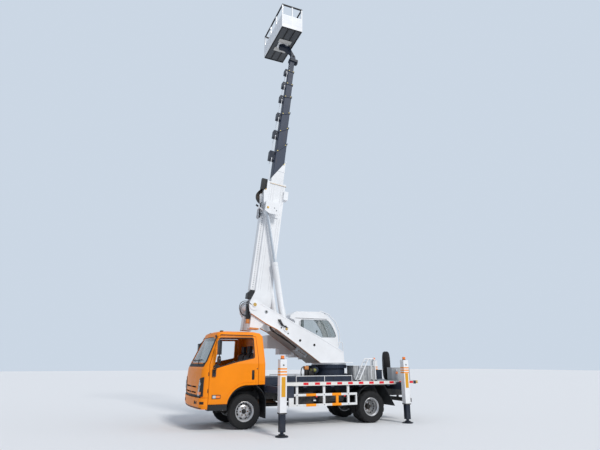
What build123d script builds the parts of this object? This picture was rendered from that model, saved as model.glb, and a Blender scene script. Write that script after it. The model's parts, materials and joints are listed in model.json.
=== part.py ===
import math
import os

from build123d import *

# Telescopic cherry picker on a light cab-over truck, in millimetres.
# +X points rearwards, -Y is the truck's left side and +Z is up.
# The origin is on the ground, in the middle of the truck's length and of its track.
# Lengths along the truck in the tables are measured rearwards from a datum 1110 mm behind the bumper's face.

# Driving dimensions
TRUCK_LENGTH = 5995
BUMPER_TO_DATUM = 1110
WHEELBASE = 3360
FRONT_WHEEL_X = 35
REAR_WHEEL_X = FRONT_WHEEL_X + WHEELBASE
TAIL_X = TRUCK_LENGTH - BUMPER_TO_DATUM
TOW_PIN_R = 16
DATUM_X = BUMPER_TO_DATUM - TRUCK_LENGTH / 2
TYRE_R = 385
TYRE_W = 200
RIM_R = 222
FRONT_WHEEL_Y = 750
KINGPIN_Y = 630
TWIN_INNER_Y = 580
TWIN_OUTER_Y = 850
RAIL_IN, RAIL_OUT = 340, 400
RAIL_END = 4780
RAIL_TOP = 800
RAIL_DEPTH = 190
SUBFRAME_TOP = 980
DECK_TOP = 1015
DECK_HALF = 1000
SLEW_X = 2650
PIVOT_X = 330
PIVOT_Z = 2900
BOOM_LEAN = 6.5
JACK_BOX = 150
JACK_BOX_BOTTOM = 445
JACK_BOX_TOP = 1540
LEFT_JACK = (430, -2200)
RIGHT_JACK = (650, 2200)
REAR_JACKS = ((4220, -1300), (4750, 1020))

os.makedirs("parts", exist_ok=True)


def at(x):
    """Row position of a place measured rearwards from the datum."""
    return DATUM_X + x


def side(y):
    """Side plane at y, in which x runs rearwards and y up. It extrudes towards -Y."""
    return Plane.XZ.offset(-y)


def block(x0, x1, y0, y1, z0, z1, mode=Mode.ADD):
    """Box between two corners, x measured from the datum."""
    with Locations((at((x0 + x1) / 2), (y0 + y1) / 2, (z0 + z1) / 2)):
        Box(x1 - x0, y1 - y0, z1 - z0, mode=mode)


def rod_y(x, z, y0, y1, radius, mode=Mode.ADD):
    """Round bar across the truck, x measured from the datum."""
    with Locations(Location((at(x), (y0 + y1) / 2, z), (90, 0, 0))):
        Cylinder(radius, y1 - y0, mode=mode)


def rod_z(x, y, z0, z1, radius, mode=Mode.ADD):
    """Upright round bar, x measured from the datum."""
    with Locations((at(x), y, (z0 + z1) / 2)):
        Cylinder(radius, z1 - z0, mode=mode)


def rod_x(x0, x1, y, z, radius, mode=Mode.ADD):
    """Round bar along the truck, x measured from the datum."""
    with Locations(Location((at((x0 + x1) / 2), y, z), (0, 90, 0))):
        Cylinder(radius, x1 - x0, mode=mode)


def tube_path(points, radius):
    """Round tube along straight runs, x measured from the datum."""
    for start, end in zip(points, points[1:]):
        low = Vector(at(start[0]), start[1], start[2])
        high = Vector(at(end[0]), end[1], end[2])
        with Locations(Plane(origin=(low + high) / 2, z_dir=high - low)):
            Cylinder(radius, (high - low).length)
    for x, y, z in points[1:-1]:
        with Locations((at(x), y, z)):
            Sphere(radius)


def bent_tube(points, radius, bend):
    """Round tube with rounded bends, x measured from the datum."""
    with BuildLine() as run:
        FilletPolyline(*[(at(x), y, z) for x, y, z in points], radius=bend)
    with BuildSketch(Plane(origin=run.line @ 0, z_dir=run.line % 0)) as section:
        Circle(radius)
    sweep(section.sketch, path=run.line)


def profile(points, y0, y1, mode=Mode.ADD):
    """Plate with a side outline, from y0 to y1."""
    with BuildSketch(side(y1)) as outline:
        with BuildLine():
            Polyline(*[(at(x), z) for x, z in points], close=True)
        make_face()
    extrude(outline.sketch, amount=y1 - y0, mode=mode)


def save(builder, label):
    builder.part.label = label
    export_step(builder.part, f"parts/{label}.step")


# Chassis: two channel rails with cross members, cab mounts, the underrun bar and a towing jaw
CROSS_MEMBERS = (-820, -490, 700, 1180, 1900, 2750, 3900, 4740)
TOW_PIN_X = TAIL_X - 60
FLANGE = 8
with BuildPart() as chassis_frame:
    for s in (-1, 1):
        low, high = sorted((s * RAIL_IN, s * RAIL_OUT))
        block(-950, RAIL_END, low, high, RAIL_TOP - RAIL_DEPTH, RAIL_TOP)
        web = sorted((s * (RAIL_IN - FLANGE), s * (RAIL_OUT - FLANGE)))
        block(-940, RAIL_END - 10, *web, RAIL_TOP - RAIL_DEPTH + FLANGE, RAIL_TOP - FLANGE,
              mode=Mode.SUBTRACT)
        block(-900, -840, low, high, RAIL_TOP, 820)
        block(380, 440, low, high, RAIL_TOP, 978)
        block(4580, 4620, low, high, 480, RAIL_TOP - 20)
        block(4580, 4640, low, high, 480, 540)
    for x in CROSS_MEMBERS:
        block(x - 30, x + 30, -396, 396, RAIL_TOP - 130, RAIL_TOP - 20)
    block(4630, 4675, -900, 900, 460, 560)
    for z in (650, 720):
        block(4760, TOW_PIN_X, -60, 60, z, z + 25)
        rod_z(TOW_PIN_X, 0, z, z + 25, 60)
    rod_z(TOW_PIN_X, 0, 640, 760, TOW_PIN_R, mode=Mode.SUBTRACT)
save(chassis_frame, "chassis_frame")

# Subframe: box rails, housings of the front outriggers, beams of the rear jacks and a raised platform
BEAM_Z0, BEAM_Z1 = 818, 950
BEAM_W = 160
LEFT_BEAM_X, RIGHT_BEAM_X = 590, 810
HOUSING_GAP = 6
HOUSING_OUT = HOUSING_GAP + 12
PLATFORM_TOP = 1130
DECK_UNDER = SUBFRAME_TOP + 15


def jack_box(x, y):
    """Square box of an outrigger leg, open at the bottom, with its lamp post on top."""
    half = JACK_BOX / 2
    block(x - half, x + half, y - half, y + half, JACK_BOX_BOTTOM, JACK_BOX_TOP)
    inner = half - 10
    block(x - inner, x + inner, y - inner, y + inner, JACK_BOX_BOTTOM, JACK_BOX_TOP - 10, mode=Mode.SUBTRACT)
    rod_z(x, y, JACK_BOX_TOP, JACK_BOX_TOP + 80, 38)


with BuildPart() as subframe:
    for s in (-1, 1):
        low, high = sorted((s * RAIL_IN, s * RAIL_OUT))
        block(500, RAIL_END - 12, low, high, RAIL_TOP, SUBFRAME_TOP)
    for x in (LEFT_BEAM_X, RIGHT_BEAM_X):
        reach = BEAM_W / 2 + HOUSING_OUT
        block(x - reach, x + reach, -900, 900, BEAM_Z0 - HOUSING_OUT, BEAM_Z1 + HOUSING_OUT)
    for x in (1500, 2250, 3050, 3900):
        block(x - 40, x + 40, -DECK_HALF + 12, DECK_HALF - 12, SUBFRAME_TOP - 90, DECK_UNDER)
    for x, y in REAR_JACKS:
        inner = abs(y) - JACK_BOX / 2
        low, high = sorted((-RAIL_OUT * y / abs(y), inner * y / abs(y)))
        block(x - 80, min(x + 80, RAIL_END - 12), low, high, RAIL_TOP, SUBFRAME_TOP)
    block(960, 3000, -700, 700, SUBFRAME_TOP, PLATFORM_TOP)
    block(500, 960, -700, 700, BEAM_Z1 + HOUSING_OUT, PLATFORM_TOP)
    for x in (LEFT_BEAM_X, RIGHT_BEAM_X):
        reach = BEAM_W / 2 + HOUSING_GAP
        block(x - reach, x + reach, -960, 960, BEAM_Z0 - HOUSING_GAP, BEAM_Z1 + HOUSING_GAP,
              mode=Mode.SUBTRACT)
save(subframe, "subframe")

with BuildPart() as rear_jack_boxes:
    for x, y in REAR_JACKS:
        jack_box(x, y)
save(rear_jack_boxes, "rear_jack_boxes")

# Slewing base: a drum with the fixed toothed ring of the turret's bearing, and the worm drive in front
SLEW_TOP = 1430
GEAR_R = 485
with BuildPart() as slew_base:
    rod_z(SLEW_X, 0, PLATFORM_TOP, 1180, 500)
    rod_z(SLEW_X, 0, 1180, 1330, 430)
    rod_z(SLEW_X, 0, 1330, SLEW_TOP, GEAR_R - 12)
    with BuildSketch(Plane.XY.offset(1340)) as teeth:
        with Locations((at(SLEW_X), 0)):
            Circle(GEAR_R - 10)
            with PolarLocations(GEAR_R - 8, 48):
                Rectangle(20, 28)
    extrude(amount=70)
    block(1990, 2200, -160, 60, 1180, 1400)
    rod_y(2080, 1290, -390, -160, 75)
save(slew_base, "slew_base")

# Deck: chequer plate on both sides of the platform, with a lipped edge and two brackets at the tail
LIP = 85
with BuildPart() as deck:
    for s in (-1, 1):
        low, high = sorted((s * 705, s * DECK_HALF))
        block(960, 4240, low, high, DECK_UNDER, DECK_TOP)
        low, high = sorted((s * (DECK_HALF - 12), s * DECK_HALF))
        block(960, RAIL_END, low, high, DECK_TOP - LIP, DECK_TOP)
        low, high = sorted((s * 870, s * 930))
        block(RAIL_END - 20, TAIL_X - 30, low, high, 955, 1000)
        rod_y(TAIL_X - 32, 977, low, high, 32)
    block(3010, 4240, -705, 705, DECK_UNDER, DECK_TOP)
    block(4240, RAIL_END, -DECK_HALF, DECK_HALF, DECK_UNDER, DECK_TOP)
    block(RAIL_END - 12, RAIL_END, -DECK_HALF, DECK_HALF, DECK_TOP - LIP, DECK_TOP)
    for x, y in REAR_JACKS:
        reach = JACK_BOX / 2 + 4
        block(x - reach, x + reach, y - reach, y + reach, 900, 1100, mode=Mode.SUBTRACT)
        low, high = sorted((DECK_HALF * y / abs(y), 860 * y / abs(y)))
        block(x - 80, min(x + 80, RAIL_END), low, high, 900, SUBFRAME_TOP, mode=Mode.SUBTRACT)
save(deck, "deck")

# Side guards: white tube frames under the deck edge, and a low rail of thin tube along the deck
GUARD_Y = 960
GUARD_TUBE = 40
with BuildPart() as side_guards:
    for s in (-1, 1):
        low, high = sorted((s * (GUARD_Y - GUARD_TUBE), s * GUARD_Y))
        block(1090, 2960, low, high, 690, 745)
        block(1090, 2960, low, high, 455, 510)
        block(1090, 1215, low, high, 455, 745)
        block(2920, 2960, low, high, 455, 745)
        for x in (1270, 2000, 2680):
            block(x, x + 60, low, high, 500, DECK_UNDER)
        for x in (1280, 2050, 2830):
            rod_z(x, s * 950, DECK_TOP, 1155, 8)
        tube_path(((1280, s * 950, 1155), (2830, s * 950, 1155)), 8)
save(side_guards, "side_guards")

# Axles: beams on leaf springs, the front one with its kingpin eyes, the rear one with its differential
KINGPIN_R = 20
SPRING_Y = 375
WHEEL_Z = TYRE_R
with BuildPart() as front_axle:
    block(FRONT_WHEEL_X - 45, FRONT_WHEEL_X + 45, -520, 520, 270, 350)
    for s in (-1, 1):
        rod_z(FRONT_WHEEL_X, s * KINGPIN_Y, 270, 345, 42)
        low, high = sorted((s * 515, s * (KINGPIN_Y - 20)))
        block(FRONT_WHEEL_X - 40, FRONT_WHEEL_X + 40, low, high, 275, 340)
        rod_z(FRONT_WHEEL_X, s * KINGPIN_Y, 225, 545, KINGPIN_R - 0.05)
        low, high = sorted((s * (SPRING_Y - 34), s * (SPRING_Y + 34)))
        block(FRONT_WHEEL_X - 560, FRONT_WHEEL_X + 560, low, high, 350, 380)
        block(FRONT_WHEEL_X - 380, FRONT_WHEEL_X + 380, low, high, 380, 400)
        for x in (FRONT_WHEEL_X - 560, FRONT_WHEEL_X + 560):
            block(x - 30, x + 30, low, high, 380, RAIL_TOP - RAIL_DEPTH)
save(front_axle, "front_axle")

with BuildPart() as rear_axle:
    rod_y(REAR_WHEEL_X, WHEEL_Z, -430, 430, 62)
    with Locations((at(REAR_WHEEL_X - 20), 0, WHEEL_Z)):
        Sphere(165)
    for s in (-1, 1):
        rod_y(REAR_WHEEL_X, WHEEL_Z, min(s * 420, s * 715), max(s * 420, s * 715), 40 - 0.05)
        low, high = sorted((s * (SPRING_Y - 34), s * (SPRING_Y + 34)))
        block(REAR_WHEEL_X - 620, REAR_WHEEL_X + 620, low, high, 450, 485)
        block(REAR_WHEEL_X - 420, REAR_WHEEL_X + 420, low, high, 485, 520)
        for x in (REAR_WHEEL_X - 620, REAR_WHEEL_X + 620):
            block(x - 35, x + 35, low, high, 485, RAIL_TOP - RAIL_DEPTH)
        block(REAR_WHEEL_X - 60, REAR_WHEEL_X + 60, low, high, 400, 450)
    with Locations(Location((at(2000), 0, 450), (0, 90, 0))):
        Cylinder(45, 2380)
save(rear_axle, "rear_axle")

# Engine and gearbox as one plain block under the cab
with BuildPart() as engine:
    block(-400, 470, -300, 300, 430, 900)
    for s in (-1, 1):
        low, high = sorted((s * 300, s * (RAIL_OUT - FLANGE)))
        block(-120, -60, low, high, 630, 700)
save(engine, "engine")


def knuckle(s):
    """Forked steering knuckle round the kingpin, with its stub axle."""
    with BuildPart() as fork:
        low, high = sorted((s * (KINGPIN_Y - 45), s * (KINGPIN_Y + 50)))
        for z0, z1 in ((235, 262), (353, 545)):
            block(FRONT_WHEEL_X - 45, FRONT_WHEEL_X + 45, low, high, z0, z1)
        low, high = sorted((s * (KINGPIN_Y + 48), s * (KINGPIN_Y + 70)))
        block(FRONT_WHEEL_X - 50, FRONT_WHEEL_X + 50, low, high, 235, 545)
        rod_z(FRONT_WHEEL_X, s * KINGPIN_Y, 200, 600, KINGPIN_R, mode=Mode.SUBTRACT)
        low, high = sorted((s * (KINGPIN_Y + 60), s * (FRONT_WHEEL_Y + 15)))
        rod_y(FRONT_WHEEL_X, WHEEL_Z, low, high, 34.95)
    return fork


for s, name in ((-1, "left"), (1, "right")):
    save(knuckle(s), f"{name}_knuckle")


def tyre(x, centres):
    """Ring of rubber with rounded shoulders, one for each centre plane."""
    with BuildPart() as ring:
        for y in centres:
            half = TYRE_W / 2
            with BuildSketch(Plane.XY):
                with BuildLine():
                    Polyline((at(x) + RIM_R, y - half + 22), (at(x) + RIM_R + 40, y - half + 6),
                             (at(x) + 330, y - half), (at(x) + TYRE_R - 14, y - half + 14),
                             (at(x) + TYRE_R, y - half + 32), (at(x) + TYRE_R, y + half - 32),
                             (at(x) + TYRE_R - 14, y + half - 14), (at(x) + 330, y + half),
                             (at(x) + RIM_R + 40, y + half - 6), (at(x) + RIM_R, y + half - 22), close=True)
                make_face()
            revolve(axis=Axis((at(x), 0, 0), (0, 1, 0)))
    return ring.part.moved(Location((0, 0, WHEEL_Z)))


def rim(x, s, discs, centres, hub_r):
    """Steel wheel: a rim for each tyre and a pressed disc with hand holes for each pair of disc planes."""
    half = TYRE_W / 2 - 22
    with BuildPart() as wheel:
        for y in centres:
            with BuildSketch(Plane.XY):
                with BuildLine():
                    Polyline((at(x) + RIM_R - 1, y - half), (at(x) + RIM_R - 1, y + half),
                             (at(x) + RIM_R - 14, y + half), (at(x) + RIM_R - 14, y + half - 12),
                             (at(x) + RIM_R - 34, y + half - 30), (at(x) + RIM_R - 34, y - half + 30),
                             (at(x) + RIM_R - 14, y - half + 12), (at(x) + RIM_R - 14, y - half), close=True)
                make_face()
            revolve(axis=Axis((at(x), 0, 0), (0, 1, 0)))
        for edge, face, inward in discs:
            edge_y, face_y, back = s * edge, s * face, s * inward
            slope_y = (edge_y + face_y * 1.4) / 2.4
            with BuildSketch(Plane.XY):
                with BuildLine():
                    Polyline((at(x) + hub_r, face_y), (at(x) + 112, face_y), (at(x) + 150, slope_y),
                             (at(x) + RIM_R - 32, edge_y), (at(x) + RIM_R - 32, edge_y - back),
                             (at(x) + 148, slope_y - back), (at(x) + 108, face_y - back),
                             (at(x) + hub_r, face_y - back), close=True)
                make_face()
            revolve(axis=Axis((at(x), 0, 0), (0, 1, 0)))
        with Locations(Plane(origin=(at(x), s * discs[0][0], 0), z_dir=(0, 1, 0))):
            with PolarLocations(158, 8):
                Cylinder(17, 420, mode=Mode.SUBTRACT)
    return wheel.part.moved(Location((0, 0, WHEEL_Z)))


WHEELS = (
    # name, x, tyre centres, hub bore, and for each disc the y of its edge and face and its thickness
    ("front_left", FRONT_WHEEL_X, (-FRONT_WHEEL_Y,), 35, ((720, 772, 12),)),
    ("front_right", FRONT_WHEEL_X, (FRONT_WHEEL_Y,), 35, ((720, 772, 12),)),
    ("rear_left", REAR_WHEEL_X, (-TWIN_OUTER_Y, -TWIN_INNER_Y), 40, ((820, 715, 12), (610, 703, 12))),
    ("rear_right", REAR_WHEEL_X, (TWIN_OUTER_Y, TWIN_INNER_Y), 40, ((820, 715, 12), (610, 703, 12))),
)
for name, x, centres, hub_r, discs in WHEELS:
    s = -1 if centres[0] < 0 else 1
    ring = tyre(x, centres)
    ring.label = f"{name}_tyre"
    export_step(ring, f"parts/{name}_tyre.step")
    wheel = rim(x, s, discs, centres, hub_r)
    wheel.label = f"{name}_rim"
    export_step(wheel, f"parts/{name}_rim.step")

# Cab: lofted through level outlines, hollow, then split into the shell and two doors
CAB_OUTLINES = (
    # z, front, half width, rear
    (570, -1040, 925, 490),
    (730, -1085, 942, 500),
    (1180, -1086, 950, 500),
    (1340, -1072, 947, 500),
    (1450, -1015, 942, 500),
    (2090, -735, 800, 462),
    (2165, -712, 755, 395),
    (2200, -610, 640, 270),
)
CAB_WALL = 50
CAB_FLOOR = 1020
DOOR_GAP = 10
BUMPER_TOP = 710
GRILLE_SLOTS = (815, 935)


def cab_outline(z, front, half, rear, inset=0):
    """Level outline with a bowed front and rounded corners."""
    front, half, rear = at(front + inset), half - inset, at(rear - inset)
    bow, corner, rear_corner = 55, 150 - inset, 70 - inset / 2
    with BuildSketch(Plane.XY.offset(z)) as outline:
        with BuildLine():
            ThreePointArc((front + bow, corner - half), (front, 0), (front + bow, half - corner))
            for s in (-1, 1):
                bend = corner * (1 - math.sqrt(0.5))
                ThreePointArc((front + bow, s * (half - corner)), (front + bow + bend, s * (half - bend)),
                              (front + bow + corner, s * half))
                Line((front + bow + corner, s * half), (rear - rear_corner, s * half))
                bend = rear_corner * (1 - math.sqrt(0.5))
                ThreePointArc((rear - rear_corner, s * half), (rear - bend, s * (half - bend)),
                              (rear, s * (half - rear_corner)))
            Line((rear, rear_corner - half), (rear, half - rear_corner))
        make_face()
    return outline.sketch


def arch_cut():
    """Space of the front wheel under the cab, the full width."""
    with BuildPart() as cut:
        with BuildSketch(side(1100)):
            with BuildLine():
                ThreePointArc((at(-420), 560), (at(-270), 850), (at(60), 970))
                Polyline((at(60), 970), (at(600), 985), (at(600), 400), (at(-420), 400), (at(-420), 560))
            make_face()
        extrude(amount=2200)
    return cut.part


with BuildPart() as cab_inside:
    sections = [cab_outline(*row, inset=CAB_WALL) for row in CAB_OUTLINES[2:6]]
    floor_row = (CAB_FLOOR,) + CAB_OUTLINES[2][1:]
    roof_row = (2140, -700, 765, 410)
    loft([cab_outline(*floor_row, inset=CAB_WALL)] + sections + [cab_outline(*roof_row, inset=CAB_WALL)],
         ruled=True)
    block(-980, -430, -880, 880, 860, CAB_FLOOR + 20)

with BuildPart() as cab_outside:
    loft([cab_outline(*row) for row in CAB_OUTLINES], ruled=True)

with BuildPart() as cab_wall:
    add(cab_outside.part)
    add(cab_inside.part, mode=Mode.SUBTRACT)
    add(arch_cut(), mode=Mode.SUBTRACT)
    block(-431, 100, -415, 415, 500, 930, mode=Mode.SUBTRACT)
    block(-990, -430, -870, 870, 500, 820, mode=Mode.SUBTRACT)
    block(-1200, -865, -1000, 1000, 500, BUMPER_TOP + 5, mode=Mode.SUBTRACT)


def door_block(gap):
    """Solid region of the left door, grown by a gap all round."""
    with BuildPart() as region:
        with BuildSketch(side(-600)):
            with BuildLine():
                Polyline((at(60), 968), (at(310), 976), (at(310), 1560), (at(262), 2075), (at(-650), 2075),
                         (at(-852), 1430), (at(-852), 560), (at(-420), 560))
                ThreePointArc((at(-420), 560), (at(-270), 850), (at(60), 968))
            make_face()
            if gap:
                offset(amount=gap, kind=Kind.INTERSECTION)
        extrude(amount=500)
        block(-900, 400, -870 + gap, -500, 400, CAB_FLOOR + gap, mode=Mode.SUBTRACT)
    return region.part


WINDOW = ((-760, 1352), (-612, 2025), (195, 2038), (208, 1592), (-190, 1510))
HANDLE_POCKET = (150, 215, 1085, 1305)
with BuildPart() as left_door:
    add(cab_wall.part)
    add(door_block(0), mode=Mode.INTERSECT)
    with BuildSketch(side(-500)) as window:
        with BuildLine():
            Polyline(*[(at(x), z) for x, z in WINDOW], close=True)
        make_face()
        fillet(window.vertices(), 28)
    extrude(window.sketch, amount=500, mode=Mode.SUBTRACT)
    x0, x1, z0, z1 = HANDLE_POCKET
    with BuildSketch(side(-928)) as pocket:
        with Locations((at((x0 + x1) / 2), (z0 + z1) / 2)):
            RectangleRounded(x1 - x0, z1 - z0, 20)
    extrude(pocket.sketch, amount=40, mode=Mode.SUBTRACT)
save(left_door, "left_door")
with BuildPart() as right_door:
    add(mirror(left_door.part, about=Plane.XZ, mode=Mode.PRIVATE))
save(right_door, "right_door")

with BuildPart() as cab_shell:
    add(cab_wall.part)
    opening = door_block(DOOR_GAP)
    add(opening, mode=Mode.SUBTRACT)
    add(mirror(opening, about=Plane.XZ, mode=Mode.PRIVATE), mode=Mode.SUBTRACT)
    with BuildSketch(Plane.YZ.offset(at(-1200))) as screen_hole:
        with BuildLine():
            Polyline((-845, 1470), (845, 1470), (705, 2070), (-705, 2070), close=True)
        make_face()
        fillet(screen_hole.vertices(), 40)
    extrude(amount=500, mode=Mode.SUBTRACT)
    with BuildSketch(Plane.YZ.offset(at(430))) as rear_hole:
        with Locations((0, 1730)):
            RectangleRounded(1100, 420, 50)
    extrude(amount=200, mode=Mode.SUBTRACT)
    for z in GRILLE_SLOTS:
        for y in (-330, 330):
            block(-1150, -1050, y - 210, y + 210, z - 17, z + 17, mode=Mode.SUBTRACT)
save(cab_shell, "cab_shell")

BUMPER_OUTLINES = ((470, -1085, 925, 490), (560, -1110, 945, 490), (BUMPER_TOP, -1110, 950, 490))
with BuildPart() as front_bumper:
    loft([cab_outline(*row) for row in BUMPER_OUTLINES], ruled=True)
    hollow_foot = (460,) + BUMPER_OUTLINES[0][1:]
    hollow_top = (BUMPER_TOP + 10,) + BUMPER_OUTLINES[2][1:]
    loft([cab_outline(*row, inset=45) for row in (hollow_foot, BUMPER_OUTLINES[1], hollow_top)],
         ruled=True, mode=Mode.SUBTRACT)
    block(-865, 600, -1100, 1100, 400, 800, mode=Mode.SUBTRACT)
    for s in (-1, 1):
        low, high = sorted((s * 345, s * 395))
        block(-1085, -950, low, high, 620, 690)
    for y in (-640, 640):
        rod_x(-1120, -1060, y, 600, 22, Mode.SUBTRACT)
save(front_bumper, "front_bumper")

# Lamps: slanted headlamps with their side lamps on the cab's corners, and rear lamps under the deck
with BuildPart() as lamps:
    with BuildPart(mode=Mode.PRIVATE) as lamp_skin:
        loft([cab_outline(z, front - 12, half + 12, rear) for z, front, half, rear in CAB_OUTLINES[:4]],
             ruled=True)
    with BuildSketch(Plane.YZ.offset(at(-1200))) as lamp_face:
        with BuildLine():
            Polyline((-700, 745), (-905, 745), (-925, 1150), (-820, 1120), (-735, 980), close=True)
        make_face()
    lamp_shape = extrude(lamp_face.sketch, amount=330, mode=Mode.PRIVATE)
    left_lamp = (lamp_skin.part & lamp_shape) - cab_outside.part
    add(left_lamp)
    add(mirror(left_lamp, about=Plane.XZ, mode=Mode.PRIVATE))
    for s in (-1, 1):
        low, high = sorted((s * 620, s * 860))
        block(4632, 4672, low, high, 560, 650)
save(lamps, "lamps")

# Mudguards: arch liners with flaps and cab steps in front, curved guards over the twin wheels behind
FLAP_X = 497
with BuildPart() as mudguards:
    for s in (-1, 1):
        low, high = sorted((s * 470, s * 930))
        block(FLAP_X, FLAP_X + 20, low, high, 230, 790)
        with BuildSketch(side(high)) as liner:
            with BuildLine():
                RadiusArc((at(FLAP_X), 640), (at(285), 930), -430)
                Line((at(285), 930), (at(300), 948))
                RadiusArc((at(300), 948), (at(FLAP_X + 20), 640), 450)
                Line((at(FLAP_X + 20), 640), (at(FLAP_X), 640))
            make_face()
        extrude(liner.sketch, amount=high - low)
        rod_y(FLAP_X + 10, 700, min(s * RAIL_OUT, s * 500), max(s * RAIL_OUT, s * 500), 9)
        low, high = sorted((s * 700, s * 945))
        block(-860, -425, low, high, 440, 560)
        low, high = sorted((s * 430, s * 700))
        block(-800, -700, low, high, 500, 560)
        low, high = sorted((s * RAIL_OUT, s * 440))
        block(-800, -700, low, high, 500, 690)
        low, high = sorted((s * 455, s * 970))
        with BuildSketch(side(high)) as rear_guard:
            with BuildLine():
                ThreePointArc((at(2985), 640), (at(3125), 820), (at(3320), 895))
                Polyline((at(3320), 895), (at(3790), 895), (at(4075), 390), (at(4087), 396), (at(3798), 908),
                         (at(3318), 908))
                ThreePointArc((at(3318), 908), (at(3116), 830), (at(2974), 645))
                Line((at(2974), 645), (at(2985), 640))
            make_face()
        extrude(rear_guard.sketch, amount=high - low)
        for x in (3340, 3760):
            rod_y(x, 902, min(s * RAIL_OUT, s * 900), max(s * RAIL_OUT, s * 900), 12)
save(mudguards, "mudguards")

# Cab interior: three seats, the dashboard and the steering wheel, and the window panes
with BuildPart() as cab_interior:
    for y, width in ((-550, 470), (20, 420), (550, 470)):
        low, high = y - width / 2, y + width / 2
        block(-200, 330, low, high, CAB_FLOOR, 1260)
        profile(((210, 1240), (330, 1240), (435, 1700), (375, 1715), (300, 1640)), low, high)
        block(345, 420, y - 110, y + 110, 1720, 1880)
        profile(((370, 1680), (400, 1680), (400, 1760), (370, 1760)), y - 60, y + 60)
    profile(((-815, 1250), (-815, 1420), (-640, 1430), (-500, 1330), (-560, 1150), (-700, 1120)), -840, 840)
    with Locations(Location((at(-360), -560, 1400), (0, -30, 0))):
        Torus(200, 14)
        Box(380, 26, 14)
        Box(26, 380, 14)
        Cylinder(60, 30)
    tube_path(((-360, -560, 1400), (-520, -560, 1290)), 26)
save(cab_interior, "cab_interior")

with BuildPart() as cab_glass:
    with BuildPart(mode=Mode.PRIVATE) as pane_skin:
        loft([cab_outline(*row, inset=14) for row in CAB_OUTLINES[2:7]], ruled=True)
        loft([cab_outline(*row, inset=20) for row in CAB_OUTLINES[2:7]], ruled=True, mode=Mode.SUBTRACT)
    with BuildSketch(Plane.YZ.offset(at(-1200))) as screen:
        with BuildLine():
            Polyline((-832, 1471), (832, 1471), (695, 2069), (-695, 2069), close=True)
        make_face()
    screen_shape = extrude(screen.sketch, amount=520, mode=Mode.PRIVATE)
    with BuildSketch(Plane.YZ.offset(at(430))) as back_light:
        with Locations((0, 1730)):
            RectangleRounded(1095, 415, 48)
    back_shape = extrude(back_light.sketch, amount=200, mode=Mode.PRIVATE)
    add((pane_skin.part & screen_shape) - cab_shell.part)
    add((pane_skin.part & back_shape) - cab_shell.part)
save(cab_glass, "cab_glass")


def mirrors(s):
    """Tall mirror and round wide-angle mirror on a bent tube, with a foot that seats on the door."""
    with BuildPart() as pair:
        tube_path(((-755, s * 962, 1250), (-745, s * 1070, 1310), (-690, s * 1120, 1600),
                   (-690, s * 1120, 1960), (-665, s * 870, 2010)), 11)
        with Locations((at(-700), s * 1145, 1805)):
            Box(60, 180, 320)
        with Locations(Location((at(-700), s * 1140, 1530), (0, 90, 0))):
            Cylinder(85, 50)
        low, high = sorted((s * 935, s * 975))
        block(-795, -715, low, high, 1165, 1325)
        add((left_door if s < 0 else right_door).part, mode=Mode.SUBTRACT)
    return pair


for s, name in ((-1, "left"), (1, "right")):
    save(mirrors(s), f"{name}_mirrors")

# Tanks between the axles: fuel tank on the right, battery box and air tanks on the left
with BuildPart() as tanks:
    block(1350, 2150, 440, 860, 480, 880)
    block(1350, 1800, -820, -440, 520, 780)
    with Locations(Location((at(2350), -620, 640), (0, 90, 0))):
        Cylinder(120, 700)
    for x in (1450, 1700, 2100):
        block(x, x + 40, -440, -400, 640, 780)
        block(x, x + 40, 400, 440, 640, 780)
    block(2100, 2140, -520, -400, 600, 780)
    block(2560, 2600, -520, -400, 600, 780)
save(tanks, "tanks")

# Deck fittings: tool boxes, a tube ladder and the spare wheel on its stand
with BuildPart() as toolbox:
    block(3110, 3790, -560, -200, DECK_TOP, 1390)
    block(3125, 3775, -547, -213, DECK_TOP + 12, 1360, mode=Mode.SUBTRACT)
    block(4080, 4640, -940, -700, DECK_TOP, 1345)
save(toolbox, "toolbox")

with BuildPart() as ladder:
    foot = DECK_TOP + 16
    for y in (-700, -900):
        bent_tube(((3080, y, foot), (3372, y, 1572), (3562, y, 1572), (3580, y, foot)), 16, 60)
        block(3060, 3100, y - 20, y + 20, DECK_TOP, DECK_TOP + 20)
        block(3560, 3600, y - 20, y + 20, DECK_TOP, DECK_TOP + 20)
    for step in (0.3, 0.6, 0.9):
        x, z = 3080 + 280 * step, foot + (1540 - foot) * step
        tube_path(((x, -900, z), (x, -700, z)), 13)
save(ladder, "ladder")

SPARE_X, SPARE_Y, SPARE_Z = 4330, -290, 1400
SPARE_TURN = 60
with BuildPart() as spare_wheel:
    with BuildSketch(Plane.XY) as spare_section:
        with BuildLine():
            Polyline((80, -20), (150, -20), (150, -80), (RIM_R, -90), (TYRE_R - 30, -100), (TYRE_R, -68),
                     (TYRE_R, 68), (TYRE_R - 30, 100), (RIM_R, 90), (150, 80), (150, 0), (80, 0), close=True)
        make_face()
    revolve(spare_section.sketch, axis=Axis.Y)
spare = spare_wheel.part.moved(Location((at(SPARE_X), SPARE_Y, SPARE_Z), (0, 0, SPARE_TURN)))
spare.label = "spare_wheel"
export_step(spare, "parts/spare_wheel.step")

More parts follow.
